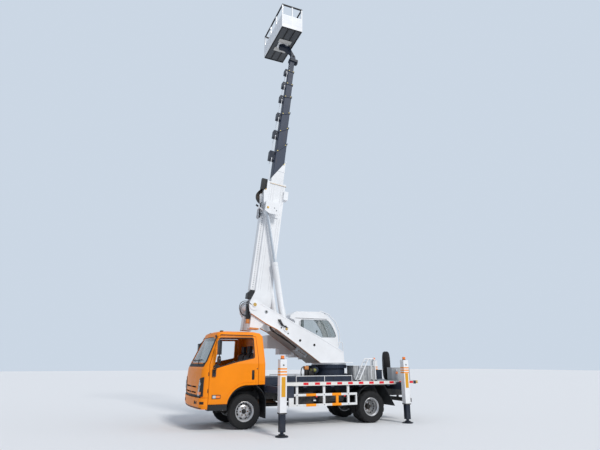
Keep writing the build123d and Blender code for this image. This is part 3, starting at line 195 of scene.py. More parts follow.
class Piece:
    """A dressed piece in one mesh, carried by a body of the model. All are finished at the end."""

    def __init__(self, name, look, body="truck", angle=35, stands_for=()):
        self.name, self.body, self.look, self.mesh = name, body, look, bmesh.new()
        self.angle, self.stands_for = angle, stands_for
        PIECES.append(self)

    def rings(self, rows, ends=True, loop=False):
        """Skin over rings of points."""
        rows = self.rows = [[self.mesh.verts.new(p) for p in row] for row in rows]
        count = len(rows[0])
        pairs = list(zip(rows, rows[1:])) + ([(rows[-1], rows[0])] if loop else [])
        for low, high in pairs:
            for k in range(count):
                self.mesh.faces.new((low[k], low[(k + 1) % count], high[(k + 1) % count], high[k]))
        if ends and not loop:
            self.mesh.faces.new(list(reversed(rows[0])))
            self.mesh.faces.new(rows[-1])
        return self

    def box(self, x0, x1, y0, y1, z0, z1, bevel=0.0):
        """Box along the truck's axes, x measured from the datum."""
        middle = spot((x0 + x1) / 2, (y0 + y1) / 2, (z0 + z1) / 2)
        size = Matrix.Diagonal((abs(x1 - x0), abs(y1 - y0), abs(z1 - z0), 1))
        made = bmesh.ops.create_cube(self.mesh, size=1, matrix=Matrix.Translation(middle) @ size)
        if bevel:
            edges = {e for v in made["verts"] for e in v.link_edges}
            bmesh.ops.bevel(self.mesh, geom=list(edges), offset=bevel, segments=2, profile=0.5,
                            affect="EDGES")
        return self

    def boxes(self, *rows):
        """Several boxes, each given as the numbers of one."""
        for numbers in rows:
            self.box(*numbers)
        return self

    def pair(self, x0, x1, y0, y1, z0, z1, bevel=0.0):
        """Two boxes, one on each side of the truck."""
        for s in BOTH:
            self.box(x0, x1, s * y0, s * y1, z0, z1, bevel)
        return self

    def side(self, outline, y0, y1):
        """Plate with an outline seen from the side."""
        return self.rings([[spot(x, y, z) for x, z in outline] for y in (y0, y1)])

    def boom_box(self, a0, a1, y0, y1, s0, s1):
        """Box with its sides across and along the boom."""
        outline = ((a0, s0), (a1, s0), (a1, s1), (a0, s1))
        return self.rings([[on_boom(a, y, s) for a, s in outline] for y in (y0, y1)])

    def rod(self, start, end, radius, sides=20, far=None):
        """Round bar, or a cone where far gives the other end's radius."""
        axis = (end - start).normalized()
        u = axis.orthogonal().normalized()
        v = axis.cross(u)
        ends = ((start, radius), (end, radius if far is None else far))
        return self.rings([circle(p, u * r, v * r, sides) for p, r in ends])

    def peg(self, start, step, radius, sides=20, far=None):
        """Round bar given by its start and its way to the end."""
        return self.rod(start, start + step, radius, sides, far)

    def studs(self, x, y0, y1, z, radius, sides=20, far=None):
        """Two round bars along y, one on each side of the truck."""
        for s in BOTH:
            self.rod(spot(x, s * y0, z), spot(x, s * y1, z), radius, sides, far)
        return self

    def tube(self, points, radius, sides=8, loop=False):
        """Round tube along a run of points."""
        rows, u = [], None
        for here, way in zip(points, ways(points, loop)):
            axis = way.normalized()
            u = axis.orthogonal() if u is None else u - axis * u.dot(axis)
            u.normalize()
            rows.append(circle(here, u * radius, axis.cross(u) * radius, sides))
        return self.rings(rows, loop=loop)

    def pipe(self, places, radius, sides=8):
        """Smoothly bent tube through places of the truck."""
        return self.tube(smooth_run([spot(*place) for place in places]), radius, sides)

    def ribbon(self, run, width, height, loop=False, sink=0.002):
        """Flat strip that lies on a surface, along a run of places with normals."""
        rows = []
        for (here, normal), way in zip(run, ways([place for place, _ in run], loop)):
            across = normal.cross(way).normalized() * width / 2
            rows.append([here - across - normal * sink, here - across * 0.8 + normal * height,
                         here + across * 0.8 + normal * height, here + across - normal * sink])
        return self.rings(rows, loop=loop)

    def patch(self, node, corners, direction, lift, depth, grid=6):
        """Curved plate on a CAD node inside four corners, seen along a direction."""
        rows = []
        a, b, c, d = corners
        for i in range(grid + 1):
            places = [a.lerp(b, j / grid).lerp(d.lerp(c, j / grid), i / grid) for j in range(grid + 1)]
            hits = [skin(node, place, direction) for place in places]
            if None in hits:
                return self
            top = [place + normal * lift for place, normal in hits]
            rows.append(top + [place + direction * depth for place in reversed(top)])
        self.rings(rows, ends=False)
        for end in (self.rows[0], self.rows[-1]):
            for k in range(grid):
                self.mesh.faces.new((end[k], end[k + 1], end[-k - 2], end[-k - 1]))
        return self

    def lathe(self, outline, centre, axis, sides, dips=lambda k, r, offset: 0):
        """Ring turned from an outline of radius and offset, with dips where the tread is cut."""
        u = axis.orthogonal().normalized()
        v = axis.cross(u)
        outs = circle(Vector(), u, v, sides)
        return self.rings([[centre + out * (r - dips(k, r, o)) + axis * o for r, o in outline]
                           for k, out in enumerate(outs)], loop=True)

    def finish(self):
        """Makes the object, shades it and lets its body carry it."""
        bmesh.ops.recalc_face_normals(self.mesh, faces=self.mesh.faces)
        data = bpy.data.meshes.new(self.name)
        self.mesh.to_mesh(data)
        self.mesh.free()
        data.materials.append(self.look)
        data.polygons.foreach_set("use_smooth", [True] * len(data.polygons))
        data.set_sharp_from_angle(angle=radians(self.angle))
        obj = placed(self.name, data)
        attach(obj, self.body)
        if self.stands_for:
            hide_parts(*self.stands_for)


def add_node(tree, kind, output, inputs, **settings):
    """Adds a shader node, sets or links its inputs and gives one of its outputs."""
    node = tree.nodes.new("ShaderNode" + kind)
    for key, value in settings.items():
        setattr(node, key, value)
    for key, value in inputs.items():
        if isinstance(value, bpy.types.NodeSocket):
            tree.links.new(value, node.inputs[key])
        else:
            node.inputs[key].default_value = value
    return node.outputs[output]


def parts_of(prefix):
    """Maker of pieces whose names start with a prefix."""
    return lambda name, *rest: Piece(f"{prefix}_{name}", *rest)


class Look:
    """A Principled material with procedural colour, roughness and bump on object coordinates."""

    def __init__(self, name, plain):
        self.mat = bpy.data.materials.new(name)
        self.mat.use_nodes = True
        self.tree = self.mat.node_tree
        self.shader = self.tree.nodes["Principled BSDF"]
        for key, value in plain.items():
            self.shader.inputs[key].default_value = value
        self.coords = self.node("TexCoord", "Object", {})

    def node(self, kind, output, inputs, **settings):
        return add_node(self.tree, kind, output, inputs, **settings)

    def noise(self, scale, detail=4.0, rough=0.6, stretch=(1, 1, 1)):
        place = self.node("Mapping", "Vector", {"Scale": stretch, "Vector": self.coords})
        return self.node("TexNoise", "Fac",
                         {"Vector": place, "Scale": scale, "Detail": detail, "Roughness": rough})

    def ramp(self, value, low, high, out_low=0.0, out_high=1.0):
        """Maps a value range to another and clamps it."""
        return self.node("MapRange", "Result", {"Value": value, "From Min": low, "From Max": high,
                                                "To Min": out_low, "To Max": out_high})

    def times(self, a, b):
        return self.node("Math", 0, {0: a, 1: b}, operation="MULTIPLY")

    def mix(self, factor, a, b):
        """Colour mix; the numbers are the node's sockets for the factor, the colours and the result."""
        a, b = ((*c, 1) if isinstance(c, tuple) else c for c in (a, b))
        return self.node("Mix", 2, {0: factor, 6: a, 7: b}, data_type="RGBA")

    def join(self, shade, rough=None, height=None, strength=0.0, distance=0.0, alpha=None):
        """Links colour, roughness, bump and alpha to the shader and gives the material."""
        bump = {"Height": height, "Strength": strength, "Distance": distance}
        relief = height and self.node("Bump", "Normal", bump)
        for key, value in (("Base Color", shade), ("Roughness", rough), ("Normal", relief), ("Alpha", alpha)):
            if value:
                self.tree.links.new(value, self.shader.inputs[key])
        return self.mat


def scaled(color, share, add=0.0):
    return tuple(min(1, c * share + add) for c in color)


def paint(name, color, roughness=0.3, coat=0.5, dust=0.25, dust_top=1.2, streak=None):
    """Sprayed paint: faint mottling, orange peel, dust low down and streaks."""
    look = Look(name, {"Specular IOR Level": 0.22, "Coat Weight": coat, "Coat Roughness": 0.06})
    fine = look.noise(9.0, 8, 0.7)
    level = look.node("SeparateXYZ", "Z", {"Vector": look.coords})
    grime = look.times(look.ramp(level, dust_top, 0.2, 0.0, dust), look.ramp(fine, 0.35, 0.7))
    shade = look.mix(look.ramp(look.noise(1.3, 5), 0.3, 0.7), scaled(color, 0.86), color)
    shade = look.mix(grime, shade, (0.24, 0.21, 0.17))
    if streak:
        runs = look.noise(5.0, 6, 0.6, (6, 6, 0.35))
        shade = look.mix(look.ramp(runs, 0.58, 0.78, 0, 0.75), shade, streak)
    rough = look.ramp(fine, 0.3, 0.7, roughness - 0.06, roughness + 0.1)
    return look.join(shade, rough, look.noise(160, 3), 0.04, 0.002)


def metal(name, color, roughness=0.35, spots=(0.3, 0.25, 0.2), spotted=0.3, scale=14, metallic=0.85):
    """Bare or galvanised metal with flecks and stains."""
    look = Look(name, {"Metallic": metallic})
    fleck = look.noise(scale, 6, 0.65)
    shade = look.mix(look.ramp(fleck, 0.35, 0.65), scaled(color, 0.8), color)
    shade = look.mix(look.ramp(look.noise(3.1, 6), 0.55, 0.8, 0, spotted), shade, spots)
    rough = look.ramp(fleck, 0.3, 0.7, roughness - 0.08, roughness + 0.12)
    return look.join(shade, rough, fleck, 0.08, 0.002)


def plastic(name, color, roughness=0.55, grain=260, depth=0.12):
    """Moulded plastic or rubber with a fine grain and faint dust."""
    look = Look(name, {"Specular IOR Level": 0.3})
    broad = look.noise(4.0, 6)
    shade = look.mix(look.ramp(broad, 0.35, 0.75), color, scaled(color, 1.5, 0.006))
    rough = look.ramp(broad, 0.3, 0.7, roughness - 0.07, roughness + 0.1)
    return look.join(shade, rough, look.noise(grain, 2), depth, 0.001)


def glass(name, color, alpha):
    """Window glass: mostly clear, with streaks of dust."""
    look = Look(name, {"Roughness": 0.03, "Coat Weight": 0.6})
    streaks = look.noise(2.2, 6, 0.6, (1, 1, 0.4))
    shade = look.mix(look.ramp(streaks, 0.4, 0.7), color, scaled(color, 1.4))
    return look.join(shade, alpha=look.ramp(streaks, 0.4, 0.8, alpha - 0.06, alpha + 0.06))


def chequer(name, color):
    """Chequer plate: crossed lozenges raised on worn aluminium."""
    look = Look(name, {"Metallic": 0.6})
    bars = []
    for turn in (radians(45), radians(-45)):
        place = look.node("Mapping", "Vector", {"Rotation": (0, 0, turn), "Vector": look.coords})
        bars.append(look.node("TexWave", "Fac", {"Scale": 7.0, "Vector": place}))
    fleck = look.noise(6, 7)
    shade = look.mix(look.ramp(fleck, 0.3, 0.7), scaled(color, 0.72), color)
    rough = look.ramp(fleck, 0.3, 0.7, 0.35, 0.6)
    return look.join(shade, rough, look.ramp(look.times(*bars), 0.55, 0.7), 0.5, 0.004)


def glow(name, color, strength=0.0):
    """Coloured lens plastic with fine ribs, faintly lit."""
    look = Look(name, {"Roughness": 0.12, "Coat Weight": 0.7, "Emission Color": (*color, 1),
                       "Emission Strength": strength})
    ribs = look.node("TexWave", "Fac", {"Scale": 60, "Vector": look.coords})
    return look.join(look.mix(ribs, scaled(color, 0.85), color), None, ribs, 0.15, 0.001)


CAB_PAINT = paint("cab_paint", (0.93, 0.262, 0.001), 0.42, 0.04, 0.1, 0.9)
WHITE = paint("white_paint", (0.8, 0.81, 0.83), 0.34, 0.35, 0.3, 1.1)
WHITE_LOW = paint("guard_white", (0.76, 0.77, 0.78), 0.4, 0.2, 0.45, 1.3)
SLATE = paint("slate_paint", (0.044, 0.056, 0.086), 0.45, 0.08, 0.0, streak=(0.1, 0.065, 0.045))
CHASSIS = paint("chassis_black", (0.018, 0.021, 0.028), 0.5, 0.1, 0.6, 1.1)
PLATFORM = paint("platform_slate", (0.022, 0.032, 0.056), 0.45, 0.05, 0.2, 1.4)
NAVY = paint("navy_paint", (0.01, 0.017, 0.033), 0.42, 0.1, 0.1, 0.6)
ORANGE = paint("orange_paint", (0.95, 0.31, 0.003), 0.42, 0.08, 0.1, 1.1)
# Burnt orange: a painted highlight on the turret's underside edges, and the paint of the nose valve and slew
# motor block
BURNT = paint("burnt_orange", (0.6, 0.24, 0.07), 0.5, 0.05, 0.0)
FLOOR_GREY = paint("floor_skin_grey", (0.075, 0.08, 0.088), 0.5, 0.1, 0.0)
SHEET = paint("sheet_white", (0.78, 0.8, 0.84), 0.4, 0.2, 0.0)
# Grey-beige: on the turret's belly it is painted shade
BEIGE = paint("underside_grey", (0.52, 0.51, 0.49), 0.5, 0.05, 0.0)
RED = paint("red_stripe", (0.74, 0.01, 0.022), 0.4, 0.2, 0.1, 1.2)
STRIPE_WHITE = paint("stripe_white", (0.78, 0.77, 0.74), 0.42, 0.15, 0.3, 1.2)
YELLOW = paint("yellow_plate", (0.7, 0.34, 0.02), 0.45, 0.15, 0.2, 1.0)
GREEN = paint("motor_green", (0.24, 0.25, 0.07), 0.5, 0.1, 0.3, 1.3)
GREY = paint("box_grey", (0.36, 0.38, 0.4), 0.42, 0.2, 0.2, 1.3)
STEEL = paint("dull_grey", (0.16, 0.17, 0.19), 0.5, 0.1, 0.0)
DECK = chequer("deck_plate", (0.52, 0.53, 0.54))
GALVANISED = metal("galvanised", (0.5, 0.51, 0.52), 0.42, spotted=0.15, metallic=0.35)
RIM = metal("rim_silver", (0.6, 0.6, 0.61), 0.38, (0.22, 0.16, 0.1), 0.5, 10)
CHROME = metal("rod_chrome", (0.62, 0.64, 0.67), 0.16, spotted=0.05, scale=40)
CAST = metal("cast_dark", (0.045, 0.043, 0.042), 0.6, (0.1, 0.06, 0.035), 0.5)
RUST = metal("nut_brown", (0.2, 0.11, 0.06), 0.5, (0.1, 0.05, 0.03), 0.5, 30)
BRASS = metal("gold_pin", (0.72, 0.46, 0.14), 0.3, (0.3, 0.18, 0.06), 0.3)
MIRROR = metal("mirror_glass", (0.75, 0.77, 0.79), 0.05, spotted=0.02)
RUBBER = plastic("tyre", (0.009, 0.009, 0.01), 0.8, 120, 0.3)
PLASTIC = plastic("black_plastic", (0.014, 0.015, 0.017), 0.45)
SEAL = plastic("seal_rubber", (0.01, 0.01, 0.011), 0.6, 90, 0.1)
HOSE = plastic("hose_rubber", (0.016, 0.016, 0.018), 0.5, 200, 0.2)
INTERIOR = plastic("interior", (0.035, 0.036, 0.04), 0.65, 180, 0.25)
NYLON = plastic("wear_pad", (0.72, 0.55, 0.14), 0.5, 90, 0.1)
GLASS = glass("glass", (0.1, 0.14, 0.13), 0.3)
SCREEN_GLASS = glass("cab_screen_glass", (0.085, 0.125, 0.12), 0.62)
HEADLIGHT = glass("headlight_glass", (0.66, 0.7, 0.73), 0.72)
LENS = glow("lamp", (0.55, 0.58, 0.6))
AMBER = glow("amber_lens", (0.88, 0.2, 0.005), 0.08)
RED_LENS = glow("red_lens", (0.65, 0.02, 0.015), 0.1)

# Looks of the CAD nodes, by the ends of their names; the others are white
LOOKS = (
    (CHASSIS, "chassis_frame tanks"), (PLATFORM, "subframe slew_base"), (GALVANISED, "toolbox"), (RIM, "rim"),
    (CAST, "axle engine knuckle"), (CAB_PAINT, "cab_shell bumper left_door right_door"), (DECK, "deck"),
    (PLASTIC, "lamps mudguards mirrors reel"), (GLASS, "operator_glass"), (SCREEN_GLASS, "cab_glass"),
    (RUBBER, "tyre spare_wheel"), (WHITE_LOW, "side_guards"), (NAVY, "bracket leg"), (CHROME, "luff_rods"),
    (INTERIOR, "cab_interior operator_seat"), (SLATE, "3 4 5 6 7 8 9"))
for name, obj in NODES.items():
    found = [look for look, ends in LOOKS if name.endswith(tuple(ends.split()))]
    obj.data.materials.clear()
    obj.data.materials.append(found[0] if found else WHITE)

# Wheels: tyres with ribs and cut shoulders in place of the CAD model's plain rings, and the wheel faces
HUB_Z = 0.385


def mirrored(half):
    """Whole outline of a tyre, radius and offset, from the points before its middle."""
    return half + tuple((r, -offset) for r, offset in reversed(half))


TYRE = mirrored((
    (0.222, -0.078), (0.232, -0.088), (0.262, -0.093), (0.29, -0.097), (0.294, -0.0985), (0.3, -0.0985),
    (0.304, -0.0972), (0.332, -0.1), (0.352, -0.0985), (0.371, -0.088), (0.381, -0.076), (0.385, -0.062),
    (0.385, -0.048), (0.376, -0.044), (0.376, -0.036), (0.385, -0.032), (0.385, -0.01), (0.376, -0.006)))
SPARE_TYRE = mirrored((
    (0.222, -0.078), (0.232, -0.086), (0.27, -0.093), (0.29, -0.0935), (0.296, -0.096), (0.302, -0.0935),
    (0.31, -0.094), (0.345, -0.085), (0.362, -0.07), (0.362, -0.068), (0.37, -0.062), (0.379, -0.042),
    (0.376, -0.036), (0.381, -0.032), (0.384, -0.01), (0.378, -0.006)))


def rib_cuts(k, r, offset):
    """Narrow cuts across the shoulders of a ribbed tread."""
    return 0.01 if k % 4 == 0 and abs(offset) > 0.046 and r > 0.37 else 0.0


def lug_cuts(k, r, offset):
    """Wide cuts between the lugs of a driven wheel's tread, staggered from side to side."""
    side = 0 if offset < 0 else 3
    return 0.012 if (k + side) % 6 < 2 and abs(offset) > 0.03 and r > 0.36 else 0.0


WHEELS = (
    # place, x, tyre centres, cuts, face of the hub, place and lean of the hand holes
    ("front", FRONT_WHEEL_X, (0.75,), rib_cuts, 0.772, 0.7445, 0.604, 0.797),
    ("rear", REAR_WHEEL_X, (0.85, 0.58), lug_cuts, 0.715, 0.7705, -0.837, 0.547))
for s, wheel in ((s, wheel) for wheel in WHEELS for s in BOTH):
    place, x, centres, cuts, face, hole_y, lean_r, lean_y = wheel
    name = f"{place}_left" if s < 0 else f"{place}_right"
    part, body = parts_of(name), f"{name}_wheel"
    tread = part("tread", RUBBER, body, 25, (f"{name}_tyre",))
    for y in centres:
        tread.lathe(TYRE, spot(x, s * y, HUB_Z), Y, 96, cuts)
    hand_holes = part("hand_holes", SEAL, body)
    for t in turns(8, 0.5):
        out = X * cos(t) + Z * sin(t)
        along = Z * cos(t) - X * sin(t)
        normal = out * lean_r + Y * s * lean_y
        slope = normal.cross(along).normalized()
        middle = spot(x, s * hole_y, HUB_Z) + out * 0.158 + normal * 0.0015
        hand_holes.rings([circle(middle + normal * lift, along * 0.03, slope * 0.017, 20)
                          for lift in (-0.004, 0.0008)])
    nuts = part("nuts", RUST, body)
    for base in circle(spot(x, s * face, HUB_Z), X * 0.088, Z * 0.088, 6):
        nuts.peg(base - Y * s * 0.004, Y * s * 0.021, 0.0165, 6)
        nuts.peg(base, Y * s * 0.026, 0.009, 10)
    hub = part("hub", CAST, body)
    if place == "front":
        cap = ((0.002, 0.028), (0.03, 0.027), (0.046, 0.022), (0.052, 0.01), (0.056, -0.004), (0.002, -0.004))
    else:
        cap = ((0.002, 0.085), (0.05, 0.082), (0.058, 0.074), (0.06, 0.02), (0.07, 0.014), (0.071, -0.004),
               (0.002, -0.004))
        for base in circle(spot(x, s * (face + 0.08), HUB_Z), X * 0.042, Z * 0.042, 8):
            hub.peg(base, Y * s * 0.01, 0.007, 6)
    hub.lathe(cap, spot(x, s * face, HUB_Z), s * Y, 28)
    ring = part("rim_edge", RIM, body)
    edge = (centres[0] + 0.078) * s
    ring.tube(circle(spot(x, edge, HUB_Z), X * 0.2175, Z * 0.2175, 64), 0.0045, 8, True)
    valve = spot(x, s * (face - 0.02), HUB_Z) + Vector((0.6, 0, 0.8)) * 0.185
    ring.peg(valve, Y * s * 0.035, 0.005, 8)

SPARE = spot(4.33, -0.29, 1.4)
SPARE_AXIS = Vector((-sin(radians(60)), cos(radians(60)), 0))
Piece("spare_tread", RUBBER, "truck", 25, ("spare_wheel",)).lathe(SPARE_TYRE, SPARE, SPARE_AXIS, 96, rib_cuts)
Piece("spare_rim", RIM).lathe(
    ((0.06, 0.045), (0.118, 0.045), (0.15, 0.01), (0.19, -0.03), (0.205, -0.07), (0.221, -0.074),
     (0.221, 0.074), (0.205, 0.07), (0.198, -0.01), (0.15, 0.024), (0.118, 0.057), (0.06, 0.057)),
    SPARE, SPARE_AXIS, 48)

# Cab: window rubbers, wipers, lamps, grille, handles, marker lamps and steps
SCREEN = ((-0.845, 1.47), (0.845, 1.47), (0.705, 2.07), (-0.705, 2.07))
screen = Piece("screen_rubber", SEAL)
screen.ribbon(front_run(rounded(grown(SCREEN, 0.016), 0.06)), 0.036, 0.01, True)
screen.ribbon(front_run(row(-0.86, 0.0574, 31, 1.416)), 0.088, 0.006)
wipers = Piece("wipers", PLASTIC)
for y0, y1, y2 in ((-0.42, -0.12, -0.52), (0.3, 0.6, 0.16)):
    middle = (y1 + y2) / 2
    pivot = seen_front("cab_shell", y0, 1.438)[0]
    tip = seen_front("cab_glass", middle, 1.525)[0]
    blade = [seen_front("cab_glass", y, 1.515 + 0.01 * k) for k, y in enumerate((y1, middle, y2))]
    wipers.peg(pivot + X * 0.01, -X * 0.032, 0.014)
    wipers.tube([pivot - X * 0.016, tip - X * 0.03], 0.007)
    wipers.tube([p + n * 0.018 for p, n in blade], 0.009)

WINDOW = ((-0.76, 1.352), (-0.612, 2.025), (0.195, 2.038), (0.208, 1.592), (-0.19, 1.51))
ARCH = smooth_run(((-0.43, 0.75), (-0.32, 0.88), (-0.19, 0.98), (-0.06, 1.03), (0.13, 1.04), (0.27, 1.05),
                   (0.44, 1.05)))
LINER = [(-0.415, 0.565), (-0.385, 0.66), (-0.335, 0.755), (-0.262, 0.838), (-0.16, 0.898), (-0.05, 0.937),
         (0.07, 0.957), (0.28, 0.962)]
MARKERS = (
    # name, look, x and z of the corners, lift
    ("case", PLASTIC, -0.775, -0.58, 0.692, 0.772, 0.01), ("white", LENS, -0.762, -0.69, 0.704, 0.76, 0.014),
    ("amber", AMBER, -0.684, -0.594, 0.704, 0.76, 0.014))
HEADLAMP = (
    # name, look, node it lies on, lift, depth, grid, y and z of the corners
    ("head_housing", PLASTIC, "cab_shell", 0.008, 0.012, 10,
     ((0.665, 0.742), (0.905, 0.742), (0.918, 1.158), (0.775, 1.115))),
    ("head_lens", HEADLIGHT, "cab_shell", 0.014, 0.008, 10,
     ((0.69, 0.758), (0.893, 0.758), (0.908, 1.14), (0.798, 1.092))),
    ("turn_lens", AMBER, "lamps", 0.007, 0.005, 8,
     ((0.728, 0.782), (0.878, 0.782), (0.884, 0.838), (0.736, 0.838))))
for s, name in zip(BOTH, ("left", "right")):
    part = parts_of(name)
    door, swings = f"{name}_door", f"{name}_cab_door"
    window = side_run(rounded(grown(WINDOW, 0.01), 0.04), s, door)
    part("window_rubber", SEAL, swings).ribbon(window, 0.026, 0.006, True)
    handle = part("door_handle", PLASTIC, swings)
    handle.box(0.092, 0.228, s * 0.925, s * 0.932, 1.085, 1.315, 0.003)
    handle.box(0.168, 0.197, s * 0.931, s * 0.943, 1.1, 1.29, 0.004)
    lock, normal = seen_side(door, 0.283, s, 1.335)
    handle.peg(lock - normal * 0.004, normal * 0.009, 0.014)
    crease = part("arch_crease", CAB_PAINT, swings)
    crease.ribbon(side_run([p for p in ARCH if p.x < 0.285], s, door), 0.022, 0.006)
    crease = part("arch_crease_rear", CAB_PAINT)
    crease.ribbon(side_run([p for p in ARCH if p.x > 0.335], s, "cab_shell"), 0.022, 0.006)
    for kind, look, x0, x1, z0, z1, lift in MARKERS:
        corners = [spot(x, s * ASIDE, z) for x, z in ((x0, z0), (x1, z0), (x1, z1), (x0, z1))]
        part(f"marker_{kind}", look, swings).patch(door, corners, -s * Y, lift, 0.016)
    drip = part("drip_strip", SEAL)
    drip.ribbon(side_run(row(-0.6, 0.04, 21, 2.103), s, "cab_shell"), 0.022, 0.012)
    liner = part("arch_liner", PLASTIC)
    liner.side(LINER + [(x + 0.01, z - 0.012) for x, z in LINER[::-1]], s * 0.48, s * 0.915)
    step = part("step_ribs", SEAL)
    for x, z in row(-0.845, 0.058, 7, 0.56):
        step.box(x, x + 0.03, s * 0.72, s * 0.943, z, z + 0.006)
    for z in (0.465, 0.495, 0.525):
        step.box(-0.85, -0.435, s * 0.945, s * 0.949, z, z + 0.012)
    mirror = part("mirror_faces", MIRROR, swings)
    mirror.box(-0.671, -0.668, s * 1.065, s * 1.225, 1.655, 1.955, 0.001)
    mirror.peg(spot(-0.676, s * 1.14, 1.53), X * 0.004, 0.076, 32)
    clamps = part("mirror_clamps", CAST, swings)
    for z in (1.72, 1.88):
        clamps.box(-0.712, -0.668, s * 1.085, s * 1.135, z - 0.02, z + 0.02, 0.005)
    for lamp, look, node, lift, depth, grid, corners in HEADLAMP:
        corners = [spot(AHEAD, s * y, z) for y, z in corners]
        part(lamp, look, "truck", 60).patch(node, corners, X, lift, depth, grid)
    bulbs = part("reflectors", CHROME)
    for y, z, r in ((0.812, 0.905, 0.05), (0.845, 1.005, 0.042)):
        place, normal = seen_front("lamps", s * y, z)
        u = normal.cross(Z).normalized() * r
        bulbs.tube(circle(place + normal * 0.008, u, normal.cross(u), 28), 0.004, 6, True)
        bulbs.peg(place, normal * 0.009, r * 0.35, 20, r * 0.2)
    for index, (y, look) in enumerate(((0.625, RED_LENS), (0.703, AMBER), (0.781, LENS))):
        end = y + (0.075 if index < 2 else 0.074)
        part(f"tail_lens_{index}", look).box(4.668, 4.677, s * y, s * end, 0.565, 0.645, 0.003)

grille = Piece("grille_floor", SEAL)
fins = Piece("grille_fins", CAST)
for z in (0.815, 0.935):
    grille.ribbon(front_run(row(-0.125, 0.025, 11, z)), 0.036, 0.003)
    for slot_y in (-0.33, 0.33):
        grille.box(-1.056, -1.049, slot_y - 0.209, slot_y + 0.209, z - 0.0165, z + 0.0165)
        for y, _ in row(slot_y - 0.19, 0.0475, 9, z):
            fins.box(-1.068, -1.056, y - 0.003, y + 0.003, z - 0.016, z + 0.016)
grille.ribbon(front_run(row(-0.86, 0.0574, 31, 0.742)), 0.056, 0.004)
for s in BOTH:
    grille.ribbon(front_run(row(s * 0.53, s * 0.02, 10, 0.605), "front_bumper"), 0.075, 0.003)
    grille.ribbon(side_run(row(-1.035, 0.02, 5, 0.605), s, "front_bumper"), 0.065, 0.003)
    grille.peg(spot(-1.075, s * 0.64, 0.6), X * 0.007, 0.0215)
grille.box(-1.045, -0.9, -0.84, 0.84, 0.695, 0.735)
bumper_trim = Piece("bumper_trim", PLASTIC)
bumper_trim.ribbon(front_run(row(-0.88, 0.055, 33, 0.492), "front_bumper"), 0.03, 0.004)
roof = Piece("roof_lamps", PLASTIC)
hinges = Piece("door_hinges", CAST)
for s in BOTH:
    y = s * 0.56
    top = skin("cab_shell", spot(-0.53, y, 3.0), -Z)[0].z
    roof.box(-0.565, -0.495, y - 0.05, y + 0.05, top - 0.008, top + 0.022, 0.008)
    for z in (0.86, 1.22):
        place = seen_side("cab_shell", -0.885, s, z)[0] + X * 0.01
        hinges.peg(place - Z * 0.04, Z * 0.08, 0.008, 12)

# Deck edge stripes, guard markings, fittings and lamps
edge = Piece("edge_band", STRIPE_WHITE).pair(0.965, 4.695, 0.999, 1.0015, 0.932, 1.012)
edge.box(4.779, 4.7815, -0.998, 0.998, 0.984, 1.012)
Piece("tail_corner_skins", PLATFORM).pair(4.695, 4.778, 0.999, 1.0015, 0.932, 1.012)
dashes = Piece("edge_dashes", RED)
for x, z in row(1.45, 0.31, 11, 0.948):
    dashes.pair(x, x + 0.135, 1.0, 1.0028, z, z + 0.056)
for y, z in row(-0.93, 0.342, 6, 0.985):
    dashes.box(4.78, 4.7828, y, y + 0.165, z, z + 0.026)
guards = Piece("guard_markings", ORANGE).pair(2.36, 2.43, 0.926, 0.956, 0.508, 0.692, 0.003)
for x0, x1 in ((1.54, 1.81), (2.25, 2.51)):
    for z in (0.688, 0.453):
        guards.pair(x0, x1, 0.918, 0.962, z, z + 0.059, 0.002)
side_lamps = Piece("side_lamps", RED_LENS)
for x in (1.815, 2.6):
    side_lamps.pair(x - 0.022, x + 0.022, 0.956, 0.972, 0.66, 0.692, 0.004)
bolts = Piece("guard_bolts", CAST)
for x in (1.3, 2.03, 2.71):
    for z in (0.717, 0.482):
        bolts.studs(x, 0.955, 0.967, z, 0.01, 6)

box = Piece("toolbox_ribs", GALVANISED)
box.boxes((3.098, 3.802, -0.572, -0.188, 1.372, 1.398, 0.006),
          (3.09, 3.81, -0.58, -0.18, 1.015, 1.034, 0.003))
for x, z in row(3.135, 0.078, 9, 1.035):
    for y in (-0.571, -0.202):
        box.box(x, x + 0.022, y, y + 0.013, z, z + 0.33, 0.003)
for x in (3.101, 3.789):
    for y, z in row(-0.53, 0.088, 4, 1.035):
        box.box(x, x + 0.01, y, y + 0.022, z, z + 0.33, 0.003)
latches = Piece("box_latches", CHROME)
for x in (3.26, 3.62):
    latches.box(x, x + 0.045, -0.583, -0.57, 1.31, 1.39, 0.004)
for x in (4.18, 4.5):
    latches.box(x, x + 0.035, -0.952, -0.938, 1.25, 1.31, 0.004)
Piece("cabinet_skin", GREY).boxes((4.076, 4.644, -0.944, -0.696, 1.318, 1.349, 0.006),
                                  (4.077, 4.643, -0.943, -0.697, 1.016, 1.317, 0.004))
Piece("right_locker", NAVY).boxes((4.15, 4.66, 0.45, 0.9, 1.013, 1.245, 0.008),
                                  (4.144, 4.666, 0.444, 0.906, 1.245, 1.27, 0.006))
seam = Piece("cabinet_seams", SEAL)
seam.boxes((4.1485, 4.151, 0.5, 0.85, 1.06, 1.066), (4.1485, 4.151, 0.5, 0.85, 1.2, 1.206),
           (4.355, 4.361, -0.9445, -0.942, 1.03, 1.305))
for z in (1.1, 1.13, 1.16):
    seam.box(4.45, 4.58, -0.9445, -0.942, z, z + 0.01)
Piece("cabinet_lamp", AMBER).peg(spot(4.215, -0.94, 1.215), -Y * 0.025, 0.034, 24, 0.026)
feet = Piece("ladder_feet", SEAL)
for x in (3.08, 3.58):
    for y in (-0.7, -0.9):
        feet.box(x - 0.026, x + 0.026, y - 0.026, y + 0.026, 1.015, 1.042, 0.005)
Piece("tail_brackets", BRASS).pair(4.8, 4.882, 0.86, 0.948, 0.938, 1.012, 0.004)
bracket_bolts = Piece("tail_bracket_bolts", CAST).studs(4.855, 0.863, 0.937, 0.977, 0.012, 12)
bracket_bolts.pair(4.782, 4.802, 0.87, 0.93, 0.95, 1.005, 0.003)
seams = Piece("platform_seams", CAST)
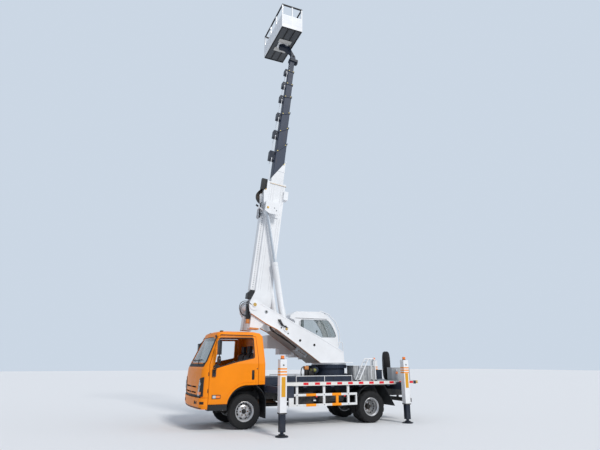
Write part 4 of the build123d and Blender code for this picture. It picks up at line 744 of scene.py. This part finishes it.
for x in (1.45, 1.94, 2.43, 2.92):
    seams.pair(x - 0.006, x + 0.006, 0.699, 0.7025, 1.02, 1.128)
    seams.studs(x + 0.24, 0.699, 0.706, 1.075, 0.014, 6)

# Underneath: tank straps, filler cap, U-bolts and the exhaust
straps = Piece("tank_straps", CAST)
for x in (1.5, 1.98):
    straps.box(x, x + 0.035, 0.437, 0.8625, 0.478, 0.8825)
BAND = ((0.1195, -0.015), (0.1235, -0.015), (0.1235, 0.015), (0.1195, 0.015))
for x in (2.48, 2.86):
    straps.lathe(BAND, spot(x, -0.62, 0.64), X, 32)
straps.peg(spot(1.75, 0.858, 0.8), Y * 0.037, 0.038, 24)
for x, z0, z1 in ((FRONT_WHEEL_X, 0.262, 0.412), (REAR_WHEEL_X, 0.395, 0.535)):
    for y in (-0.417, -0.333, 0.333, 0.417):
        for dx in (-0.06, 0.06):
            straps.peg(spot(x + dx, y, z0), Z * (z1 - z0), 0.008, 8)
exhaust = Piece("exhaust", RUST).peg(spot(0.62, 0.3, 0.5), X * 0.5, 0.085, 28)
exhaust.pipe(((0.4, 0.26, 0.55), (0.52, 0.29, 0.52), (0.62, 0.3, 0.5)), 0.028, 12)
exhaust.pipe(((1.12, 0.3, 0.5), (1.22, 0.34, 0.47), (1.28, 0.43, 0.44)), 0.028, 12)
exhaust.box(0.8, 0.83, 0.28, 0.345, 0.55, 0.62)

# Slewing motor and pipes on the platform, beside the ring
Piece("slew_motor_block", BURNT).box(1.73, 1.84, -0.46, -0.34, 1.3, 1.39, 0.01)
stand = Piece("slew_stand", CAST)
stand.boxes((1.75, 1.82, -0.44, -0.36, 1.13, 1.3, 0.006), (1.84, 1.985, -0.455, -0.335, 1.13, 1.27, 0.008))
stand.peg(spot(1.985, -0.395, 1.27), -X * 0.055, 0.072)
gear = Piece("slew_motor", GREEN)
gear.peg(spot(1.92, -0.395, 1.28), X * 0.13, 0.05)
gear.peg(spot(2.05, -0.395, 1.28), X * 0.025, 0.04, 20, 0.03)
pipes = Piece("slew_pipes", HOSE)
for k in range(2):
    y = -0.36 - 0.035 * k
    pipes.pipe(((1.74, y, 1.36), (1.71, y, 1.365), (1.68 - 0.01 * k, y, 1.33),
                (1.67 - 0.01 * k, y + 0.02, 1.24), (1.69, y + 0.06, 1.13)), 0.009)
ring_bolts = Piece("ring_bolts", CAST)
for base in circle(spot(2.65, 0, 1.18), X * 0.475, Y * 0.475, 28):
    ring_bolts.peg(base - Z * 0.004, Z * 0.018, 0.014, 6)

# Outriggers: dark sleeves, marked boxes, lamps and foot plates
JACKS = (("left_front", 0.43, -2.2), ("right_front", 0.65, 2.2),
         ("left_rear", 4.22, -1.3), ("right_rear", 4.75, 1.02))
BOX_BAND = ((0.0765, 0), (0.0765, 0.028), (0.0746, 0.028), (0.0746, 0))
COLLAR = ((-0.08, 0.08, -0.08, -0.0745), (-0.08, 0.08, 0.0745, 0.08),
          (-0.08, -0.0745, -0.0745, 0.0745), (0.0745, 0.08, -0.0745, 0.0745))
for name, x, y in JACKS:
    part, rear = parts_of(name), "rear" in name
    body = "truck" if rear else name.replace("front", "outrigger")
    s = 1 if y > 0 else -1
    bands = part("bands", ORANGE, body)
    for low in (1.21, 1.27, 1.33):
        bands.rings([[spot(x + cx * r, y + cy * r, low + dz) for r, dz in BOX_BAND]
                     for cx, cy in ((-1, -1), (1, -1), (1, 1), (-1, 1))], loop=True)
    low, high = (0.85, 1.205) if rear else (0.78, 1.18)
    plate = part("blank_plate", YELLOW, body)
    plate.box(x - 0.045, x + 0.045, y + s * 0.0742, y + s * 0.0775, low, high)
    lamp = part("lamp", AMBER, body)
    lamp.lathe(((0.002, 0.0795), (0.034, 0.0795), (0.04, 0.073), (0.04, 0.014), (0.002, 0.014)),
               spot(x, y, 1.542), Z, 28)
    trim = part("box_trim", CAST, body)
    trim.lathe(((0.002, 0.014), (0.046, 0.014), (0.046, 0.0), (0.002, 0.0)), spot(x, y, 1.54), Z, 24)
    trim.peg(spot(x, y + s * 0.074, 1.42), Y * s * 0.008, 0.016, 16)
    collar = part("box_collar", CAST, body)
    for x0, x1, y0, y1 in COLLAR:
        collar.box(x + x0, x + x1, y + y0, y + y1, 0.447, 0.469)
    foot = part("foot_detail", CAST, f"{name}_jack")
    for base in circle(spot(x, y, 0.021), X * 0.1, Y * 0.1, 6):
        foot.peg(base, Z * 0.009, 0.011, 6)
    foot.lathe(((0.069, 0.0), (0.08, 0.0), (0.08, 0.008), (0.069, 0.016)), spot(x, y, 0.022), Z, 28)
for name, beam, s, x0, x1 in (("left", 0.59, -1, 0.507, 0.672), ("right", 0.81, 1, 0.728, 0.893)):
    part = parts_of(name)
    part("beam_skin", PLATFORM, f"{name}_outrigger").boxes(
        (beam - 0.082, beam + 0.082, s * 0.25, s * 2.123, 0.816, 0.952),
        (x0, x1, s * 2.1235, s * 2.2765, 0.756, 0.992))
    stops = part("beam_pins", CHROME, f"{name}_outrigger")
    stops.peg(spot(beam - 0.05, s * 2.05, 0.985), -Z * 0.032, 0.012, 12)

# Turret: burnt orange strips along the underside edges as a painted highlight, pins, plugs, hoses and boxes
BELLY = ((2.18, 1.469), (1.52, 1.919), (0.96, 2.289), (0.956, 2.281), (1.515, 1.912), (2.174, 1.462))
# Thin burnt orange strips along the turret's underside edges: a painted highlight
edges = Piece("turret_edge_highlights", BURNT, "turret")
NOSE = ((0.96, 2.291), (0.64, 2.441), (0.25, 2.671), (0.245, 2.662), (0.635, 2.431), (0.956, 2.281))
for outline, y0, y1 in (
        (NOSE, 0.383, 0.4715), (BELLY, 0.422, 0.452),
        (((0.217, 2.302), (0.461, 2.287), (0.461, 2.277), (0.215, 2.291)), 0.21, 0.43),
        (((0.217, 2.33), (0.461, 2.315), (0.461, 2.277), (0.215, 2.291)), 0.4235, 0.4305)):
    for s in BOTH:
        edges.side(outline, s * y0, s * y1)
# Thin grey-beige sheet over the white turret's belly: painted shade
Piece("turret_belly_shade", BEIGE, "turret").side(BELLY, -0.4215, 0.4215)
plugs = Piece("turret_plugs", CAST, "turret")
for x, z, r in ((0.65, 2.73, 0.02), (1.6, 2.03, 0.032), (2.01, 1.92, 0.032), (1.26, 2.2, 0.018),
                (1.07, 2.34, 0.018)):
    plugs.studs(x, 0.449, 0.456, z, r)
boss = Piece("turret_bosses", GREY, "turret")
welds = Piece("turret_plate_edges", WHITE, "turret")
PLATE_EDGE = ((0.3, 2.985), (0.44, 2.945), (0.79, 2.775), (1.02, 2.665), (1.54, 2.405), (2.15, 2.125),
              (2.73, 1.82), (2.85, 1.74))
BOSS = ((0.021, 0.0), (0.021, 0.01), (0.042, 0.01), (0.046, 0.0))
for s in BOTH:
    boss.lathe(BOSS, spot(0.65, s * 0.449, 2.73), s * Y, 28)
    welds.tube([spot(x, s * 0.4505, z) for x, z in PLATE_EDGE], 0.006, 6)
pins = Piece("turret_pins", BRASS, "turret").studs(0.33, 0.477, 0.486, 2.9, 0.047, 28, 0.042)
pins.studs(1.21, 0.47, 0.478, 2.31, 0.036, 24, 0.032)
Piece("nose_block", PLASTIC, "turret").box(0.15, 0.24, -0.36, -0.24, 2.545, 2.93, 0.01)
Piece("nose_valve", BURNT, "turret").box(0.155, 0.235, -0.345, -0.255, 2.435, 2.546, 0.006)
hoses = Piece("turret_hoses", HOSE, "turret")
for k in range(2):
    y = -0.465 + 0.022 * k
    hoses.pipe(((0.24, y, 2.9 - 0.02 * k), (0.1, y, 2.98 - 0.03 * k), (-0.04 + 0.03 * k, y, 2.93 - 0.04 * k),
                (-0.075 + 0.04 * k, y + 0.01, 2.78), (0.02, y + 0.06, 2.64 + 0.02 * k),
                (0.15, y + 0.11, 2.6 + 0.03 * k)), 0.008)
for k in range(3):
    y = -0.4 + 0.035 * k
    hoses.pipe(((0.78, y, 2.36), (0.84, y, 2.3 - 0.014 * k), (0.95, y, 2.205),
                (1.15, y + 0.01, 2.105 - 0.01 * k), (1.36, y, 1.955), (1.52, y + 0.03, 1.85)), 0.009)
    near, far = 0.03 * k, 0.02 * k
    hoses.pipe(((0.98 + near, -0.452, 2.55), (1.0 + near, -0.475, 2.49), (1.08 + far, -0.478, 2.4),
                (1.15 + far, -0.475, 2.385 - 0.015 * k), (1.21 + near, -0.455, 2.385 - far)), 0.01)
valve = Piece("turret_valve_box", GREY, "turret")
valve.side(((1.565, 1.882), (1.86, 1.681), (1.8, 1.6), (1.51, 1.79)), -0.34, -0.1)
ports = Piece("turret_valve_ports", RUST, "turret")
for k in range(4):
    ports.peg(spot(1.6 + 0.05 * k, -0.345, 1.77 - 0.033 * k), -Y * 0.027, 0.014, 12)
tank = Piece("oil_tank_trim", CAST, "turret").peg(spot(1.6, 0.68, 2.2), Z * 0.035, 0.045, 24)
tank.boxes((1.12, 1.155, 0.899, 0.906, 1.92, 2.1, 0.003), (1.35, 1.365, 0.899, 0.903, 1.852, 2.198))

# Operator's cabin: rubbers, seams, lamps, levers and the door's rubber
CABIN_WINDOW = ((2.035, 2.18), (2.03, 2.655), (2.89, 2.665), (3.01, 2.53), (3.11, 2.35), (3.16, 2.19))
DOOR_WINDOW = ((2.4, 2.0), (2.4, 2.78), (2.64, 2.785), (2.81, 2.67), (2.97, 2.44), (3.075, 2.17),
               (3.07, 2.0))
window = [(spot(p.x, 0.5, p.y), -Y) for p in rounded(grown(CABIN_WINDOW, 0.006), 0.06)]
Piece("cabin_window_rubber", GREY, "turret").ribbon(window, 0.018, 0.004, True)
window = [(spot(p.x, 1.15, p.y), Y) for p in rounded(grown(DOOR_WINDOW, 0.008), 0.05)]
door_seal = Piece("cabin_door_rubber", SEAL, "cabin_door").ribbon(window, 0.026, 0.005, True)
door_seal.box(2.98, 3.09, 1.148, 1.166, 1.9, 1.93, 0.004)
cabin_trim = Piece("cabin_trim", SEAL, "turret")
cabin_trim.ribbon([(spot(x, 0.5, 2.7), -Y) for x in (1.86, 2.1, 2.4, 2.7, 2.87)], 0.012, 0.004)
cabin_trim.boxes((1.835, 1.845, 0.4975, 0.501, 1.66, 2.62), (1.98, 1.99, 0.4975, 0.501, 1.66, 2.62))
for k in range(5):
    cabin_trim.box(2.2, 2.62, 0.4975, 0.501, 1.78 + 0.035 * k, 1.792 + 0.035 * k)
cabin_lamps = Piece("cabin_lamps", LENS, "turret")
lamp_cases = Piece("cabin_lamp_cases", CAST, "turret")
for y in (0.66, 0.99):
    cabin_lamps.box(2.872, 2.905, y - 0.05, y + 0.05, 2.815, 2.865, 0.006)
    lamp_cases.box(2.82, 2.876, y - 0.056, y + 0.056, 2.808, 2.872, 0.008)
levers = Piece("cabin_levers", CHROME, "turret")
knobs = Piece("cabin_knobs", PLASTIC, "turret")
for y in (0.61, 1.07):
    levers.rod(spot(2.56, y, 2.235), spot(2.585, y, 2.33), 0.007, 10)
    knobs.rod(spot(2.582, y, 2.32), spot(2.595, y, 2.375), 0.02, 16, 0.024)
knobs.boxes((2.9, 2.98, 0.62, 1.0, 1.672, 1.98, 0.01), (2.86, 2.98, 0.6, 1.02, 1.98, 2.03, 0.01))

# Boom: seams, hole rows, pins, reel winding, wear pads, guide rods and hoses
BOOM_SIDE = 0.18
seams = Piece("boom_seams", GREY, "boom")
holes = Piece("trough_holes", STEEL, "boom")
gold = Piece("boom_pins", BRASS, "boom")
for x, z in ((0.845, 5.6), (0.9, 5.53)):
    holes.studs(x, 0.4075, 0.414, z, 0.014, 16)
gold.studs(0.65, 0.407, 0.418, 5.6, 0.036, 24, 0.03)
for a in (0.029, 0.535):
    gold.boom_box(a, a + 0.006, -0.198, 0.198, 3.553, 3.561)
for s in BOTH:
    for a in (0.115, 0.175, 0.395, 0.455):
        for low, high in ((0.43, 2.53), (2.93, 3.54)):
            seams.boom_box(a, a + 0.004, s * (BOOM_SIDE - 0.0015), s * (BOOM_SIDE + 0.0012), low, high)
    for along, _ in row(0.5, 0.061, 33, 0):
        holes.boom_box(-0.03, -0.008, s * 0.1085, s * 0.1112, along, along + 0.022)
    gold.rod(on_boom(-0.057, s * 0.189, 3.325), on_boom(-0.057, s * 0.201, 3.325), 0.017, 18)
    gold.boom_box(0.035, 0.535, s * 0.1955, s * 0.1975, 3.553, 3.561)
Piece("boom_arm", WHITE, "boom").rod(on_boom(-0.05, -0.15, 2.7), on_boom(-0.22, -0.19, 2.765), 0.017)
arm_end = Piece("boom_arm_end", PLASTIC, "boom")
arm_end.rod(on_boom(-0.215, -0.189, 2.763), on_boom(-0.275, -0.203, 2.786), 0.026)
CENTRE = on_boom(0.04, 0.245, 3.25)
reel = Piece("reel_winding", HOSE, "boom")
for radius in (0.13, 0.155, 0.18, 0.205):
    for dy in (-0.022, 0.0, 0.022):
        reel.tube(circle(CENTRE + Y * dy, ACROSS * radius, ALONG * radius, 48), 0.0115, 6, True)
plates = Piece("reel_plates", CAST, "boom")
for dy in (-0.04, 0.04):
    plates.lathe(((0.045, -0.003), (0.238, -0.003), (0.238, 0.003), (0.045, 0.003)), CENTRE + Y * dy, Y, 40)
    for out in circle(Vector(), ACROSS, ALONG, 8):
        plates.tube([CENTRE + Y * dy * 1.12 + out * 0.05, CENTRE + Y * dy * 1.12 + out * 0.228], 0.006, 6)
boom_hose = Piece("boom_hoses", HOSE, "boom")
for k in range(3):
    places = ((-0.02, 0.06, 2.5), (-0.06, 0.07, 2.6), (-0.07, 0.08, 2.9), (-0.045, 0.12, 3.02))
    boom_hose.tube(smooth_run([on_boom(a, y + 0.022 * k, along) for a, y, along in places], 5), 0.01)
SECTIONS = (
    # number, depth, width, end of the front edge, end of the rear edge, guide box out, guide box height
    (2, 0.38, 0.31, 3.745, 4.375, 0, 0), (3, 0.31, 0.27, 4.64, 4.98, 0.15, 0.29),
    (4, 0.285, 0.245, 5.345, 5.54, 0.13, 0.23), (5, 0.26, 0.22, 5.97, 6.08, 0.115, 0.22),
    (6, 0.235, 0.195, 6.615, 6.66, 0.105, 0.205), (7, 0.21, 0.17, 7.12, 7.12, 0.095, 0.19),
    (8, 0.185, 0.145, 7.61, 7.61, 0.088, 0.18))
previous_front = 3.615
for number, depth, width, front, rear, out, height in SECTIONS:
    body = f"boom_{number}"
    pads = Piece(f"wear_pads_{number}", NYLON, body)
    half = depth / 2
    for s in BOTH:
        y = s * (width / 2 + 0.0155)
        for share in (0.85,) if number == 2 else (0.12, 0.85):
            a = BOOM_AXIS - half + depth * share
            top = front + (rear - front) * share
            pads.boom_box(a - 0.014, a + 0.014, y - s * 0.004, y + s * 0.004, top - 0.036, top - 0.014)
    if out:
        face, foot = BOOM_AXIS - half - 0.016, front - height
        case = Piece(f"guide_case_{number}", NAVY, body)
        case.boom_box(face - out - 0.001, face - 0.004, -0.0765, 0.0765, foot - 0.001, front - 0.014)
        guide = Piece(f"guide_rods_{number}", WHITE, body)
        bolts = Piece(f"guide_bolts_{number}", CHROME, body)
        a = 0.012 + 0.0235 * (number - 3)
        bolt = face - out * 0.4
        for s in BOTH:
            length = foot - previous_front - 0.03
            if number == 3:
                length = 0.72 if s < 0 else 0.09
            guide.boom_box(a - 0.011, a + 0.011, s * 0.07, s * 0.096, foot + 0.02, foot + 0.05)
            guide.rod(on_boom(a, s * 0.089, foot + 0.03), on_boom(a, s * 0.089, foot - length), 0.0065, 10)
            for along in (front - 0.07, foot + 0.06):
                bolts.rod(on_boom(bolt, s * 0.074, along), on_boom(bolt, s * 0.08, along), 0.007, 6)
    previous_front = front
yoke = Piece("head_yoke", NAVY, "boom_9")
yoke.boom_box(BOOM_AXIS - 0.09, BOOM_AXIS + 0.165, -0.1, 0.1, 7.985, 8.075)
yoke.boom_box(BOOM_AXIS + 0.12, BOOM_AXIS + 0.185, -0.06, 0.06, 7.96, 8.1)
CHEEK = ((-0.145, 0.17), (-0.25, 0.234), (-0.43, 0.241), (-0.43, 0.329), (-0.13, 0.329))
HEAD = on_boom(BOOM_AXIS, 0, 8.165)
cheeks = Piece("bracket_cheeks", NAVY, "basket_level")
head = Piece("head_bolts", CAST, "boom_9")
for s in BOTH:
    cheeks.rings([[HEAD + Vector((dx, s * y, dz)) for dx, dz in CHEEK] for y in (0.0605, 0.088)])
    head.peg(HEAD + Y * s * 0.099, Y * s * 0.009, 0.03, 20, 0.026)

# Luffing cylinders: glands, pipes along the barrels and their clamps
SIDE = STROKE.cross(Y).normalized()
GLAND = ((0.0455, 1.782), (0.0455, 1.801), (0.06, 1.801), (0.078, 1.795), (0.078, 1.782))
CLAMP = ((0.0795, -0.012), (0.0835, -0.012), (0.0835, 0.012), (0.0795, 0.012))
glands = Piece("cylinder_glands", WHITE, "cylinder_barrels")
runs = Piece("cylinder_pipes", WHITE, "cylinder_barrels")
for s in BOTH:
    foot = spot(1.21, s * 0.3, 2.31)
    glands.lathe(GLAND, foot, STROKE, 32)
    for along in (0.22, 0.95, 1.62):
        glands.lathe(CLAMP, foot + STROKE * along, STROKE, 32)
    for dy, end in ((-0.022, 0.55), (0.022, 1.68)):
        out = Y * dy - SIDE * 0.09
        turn = foot + out + STROKE * end
        runs.tube([foot + out + STROKE * 0.2, turn, turn + STROKE * 0.02 - out * 0.18], 0.008)

# Basket: ribs under the floor, its plates, rails and the controls
Piece("basket_floor_skin", FLOOR_GREY, "work_basket").box(0.834, 1.506, -0.831, 0.831, 11.356, 11.3605)
Piece("basket_centre_plate", BEIGE, "work_basket").pair(0.965, 1.375, 0.13, 0.3, 11.3285, 11.3375)
Piece("basket_floor_plate", DECK, "work_basket").box(0.868, 1.472, -0.797, 0.797, 11.389, 11.392)
Piece("basket_controls", GREY, "work_basket").box(1.39, 1.47, -0.2, 0.2, 11.8, 12.02, 0.01)
ribs = Piece("basket_ribs", SEAL, "work_basket").pair(0.866, 1.474, 0.803, 0.827, 11.338, 11.357, 0.003)
for x in (0.852, 1.06, 1.28, 1.488):
    ribs.box(x - 0.014, x + 0.014, -0.826, 0.826, 11.338, 11.357, 0.003)
PANEL = (11.46, 11.79)
panels = Piece("basket_panels", SHEET, "work_basket").pair(0.831, 0.834, 0.29, 0.815, *PANEL)
panels.pair(0.85, 1.49, 0.831, 0.834, *PANEL).box(1.506, 1.509, -0.815, 0.815, *PANEL)
Piece("gate_panel", SHEET, "gate").box(0.832, 0.835, -0.235, 0.235, 11.49, 11.795)
RAIL = (12.164, 12.1995)
rail = Piece("basket_handrail", SEAL, "work_basket").pair(0.829, 1.511, 0.799, 0.836, *RAIL)
rail.pair(0.829, 0.866, 0.264, 0.836, *RAIL).box(1.474, 1.511, -0.836, 0.836, *RAIL)
Piece("gate_handrail", SEAL, "gate").box(0.829, 0.866, -0.2585, 0.2585, *RAIL)
posts = Piece("basket_post_sleeves", WHITE, "work_basket")
for x in (0.849, 1.491):
    posts.pair(x - 0.018, x + 0.018, 0.79, 0.834, 11.395, 12.163, 0.006)
sticks = Piece("basket_sticks", PLASTIC, "work_basket")
for y in (-0.12, 0.0, 0.12):
    sticks.peg(spot(1.43, y, 12.02), Z * 0.06, 0.008, 10)
    sticks.peg(spot(1.43, y, 12.07), Z * 0.03, 0.014, 12)
rail_caps = Piece("basket_bolts", CAST, "work_basket")
for x, out in ((0.83, -0.004), (1.51, 0.004)):
    for y in (-0.818, -0.28, 0.283, 0.818):
        rail_caps.peg(spot(x, y, 11.43), X * out, 0.01, 6)

for piece in PIECES:
    piece.finish()

# Stage: pale floor, soft studio light and the camera of the photograph
floor = placed("floor", bpy.data.meshes.new("floor"))
size = 90
corners = [(-size, -size, 0), (size, -size, 0), (size, size, 0), (-size, size, 0)]
floor.data.from_pydata(corners, [], [(0, 1, 2, 3)])
pale = Look("floor_pale", {"Base Color": (0.74, 0.75, 0.77, 1), "Roughness": 0.8})
floor.data.materials.append(pale.mat)

world = bpy.data.worlds.new("studio")
bpy.context.scene.world = world
world.use_nodes = True
tree = world.node_tree
light = tree.nodes["Background"]
light.inputs["Color"].default_value = (0.8, 0.88, 1.0, 1)
light.inputs["Strength"].default_value = 0.58
backdrop = add_node(tree, "Background", 0, {"Color": (0.6, 0.68, 0.78, 1), "Strength": 1.0})
seen = 0.0
for kind in ("Is Camera Ray", "Is Glossy Ray", "Is Transmission Ray"):
    ray = add_node(tree, "LightPath", kind, {})
    seen = add_node(tree, "Math", 0, {0: seen, 1: ray}, operation="MAXIMUM")
both = add_node(tree, "MixShader", 0, {0: seen, 1: light.outputs[0], 2: backdrop})
tree.links.new(both, tree.nodes["World Output"].inputs["Surface"])

for name, energy, angle, turn, color in (
        ("key", 2.05, 12, (radians(48), 0, radians(12)), (1.0, 0.97, 0.92)),
        ("fill", 0.5, 50, (radians(60), 0, radians(60)), (0.9, 0.95, 1.0))):
    lamp = bpy.data.lights.new(name, "SUN")
    lamp.energy = energy
    lamp.angle = radians(angle)
    lamp.color = color
    placed(name, lamp).rotation_euler = turn

cam = bpy.data.cameras.new("camera")
cam.sensor_width = 36
cam.lens = 27.6
cam.clip_end = 400
camera = placed("camera", cam)
camera.location = (at(-3.323), -11.84, 1.464)
camera.rotation_euler = (radians(90 + 16.7), 0, radians(-23.36))
bpy.context.scene.camera = camera
bpy.context.scene.view_settings.view_transform = "Standard"

bpy.context.view_layer.update()
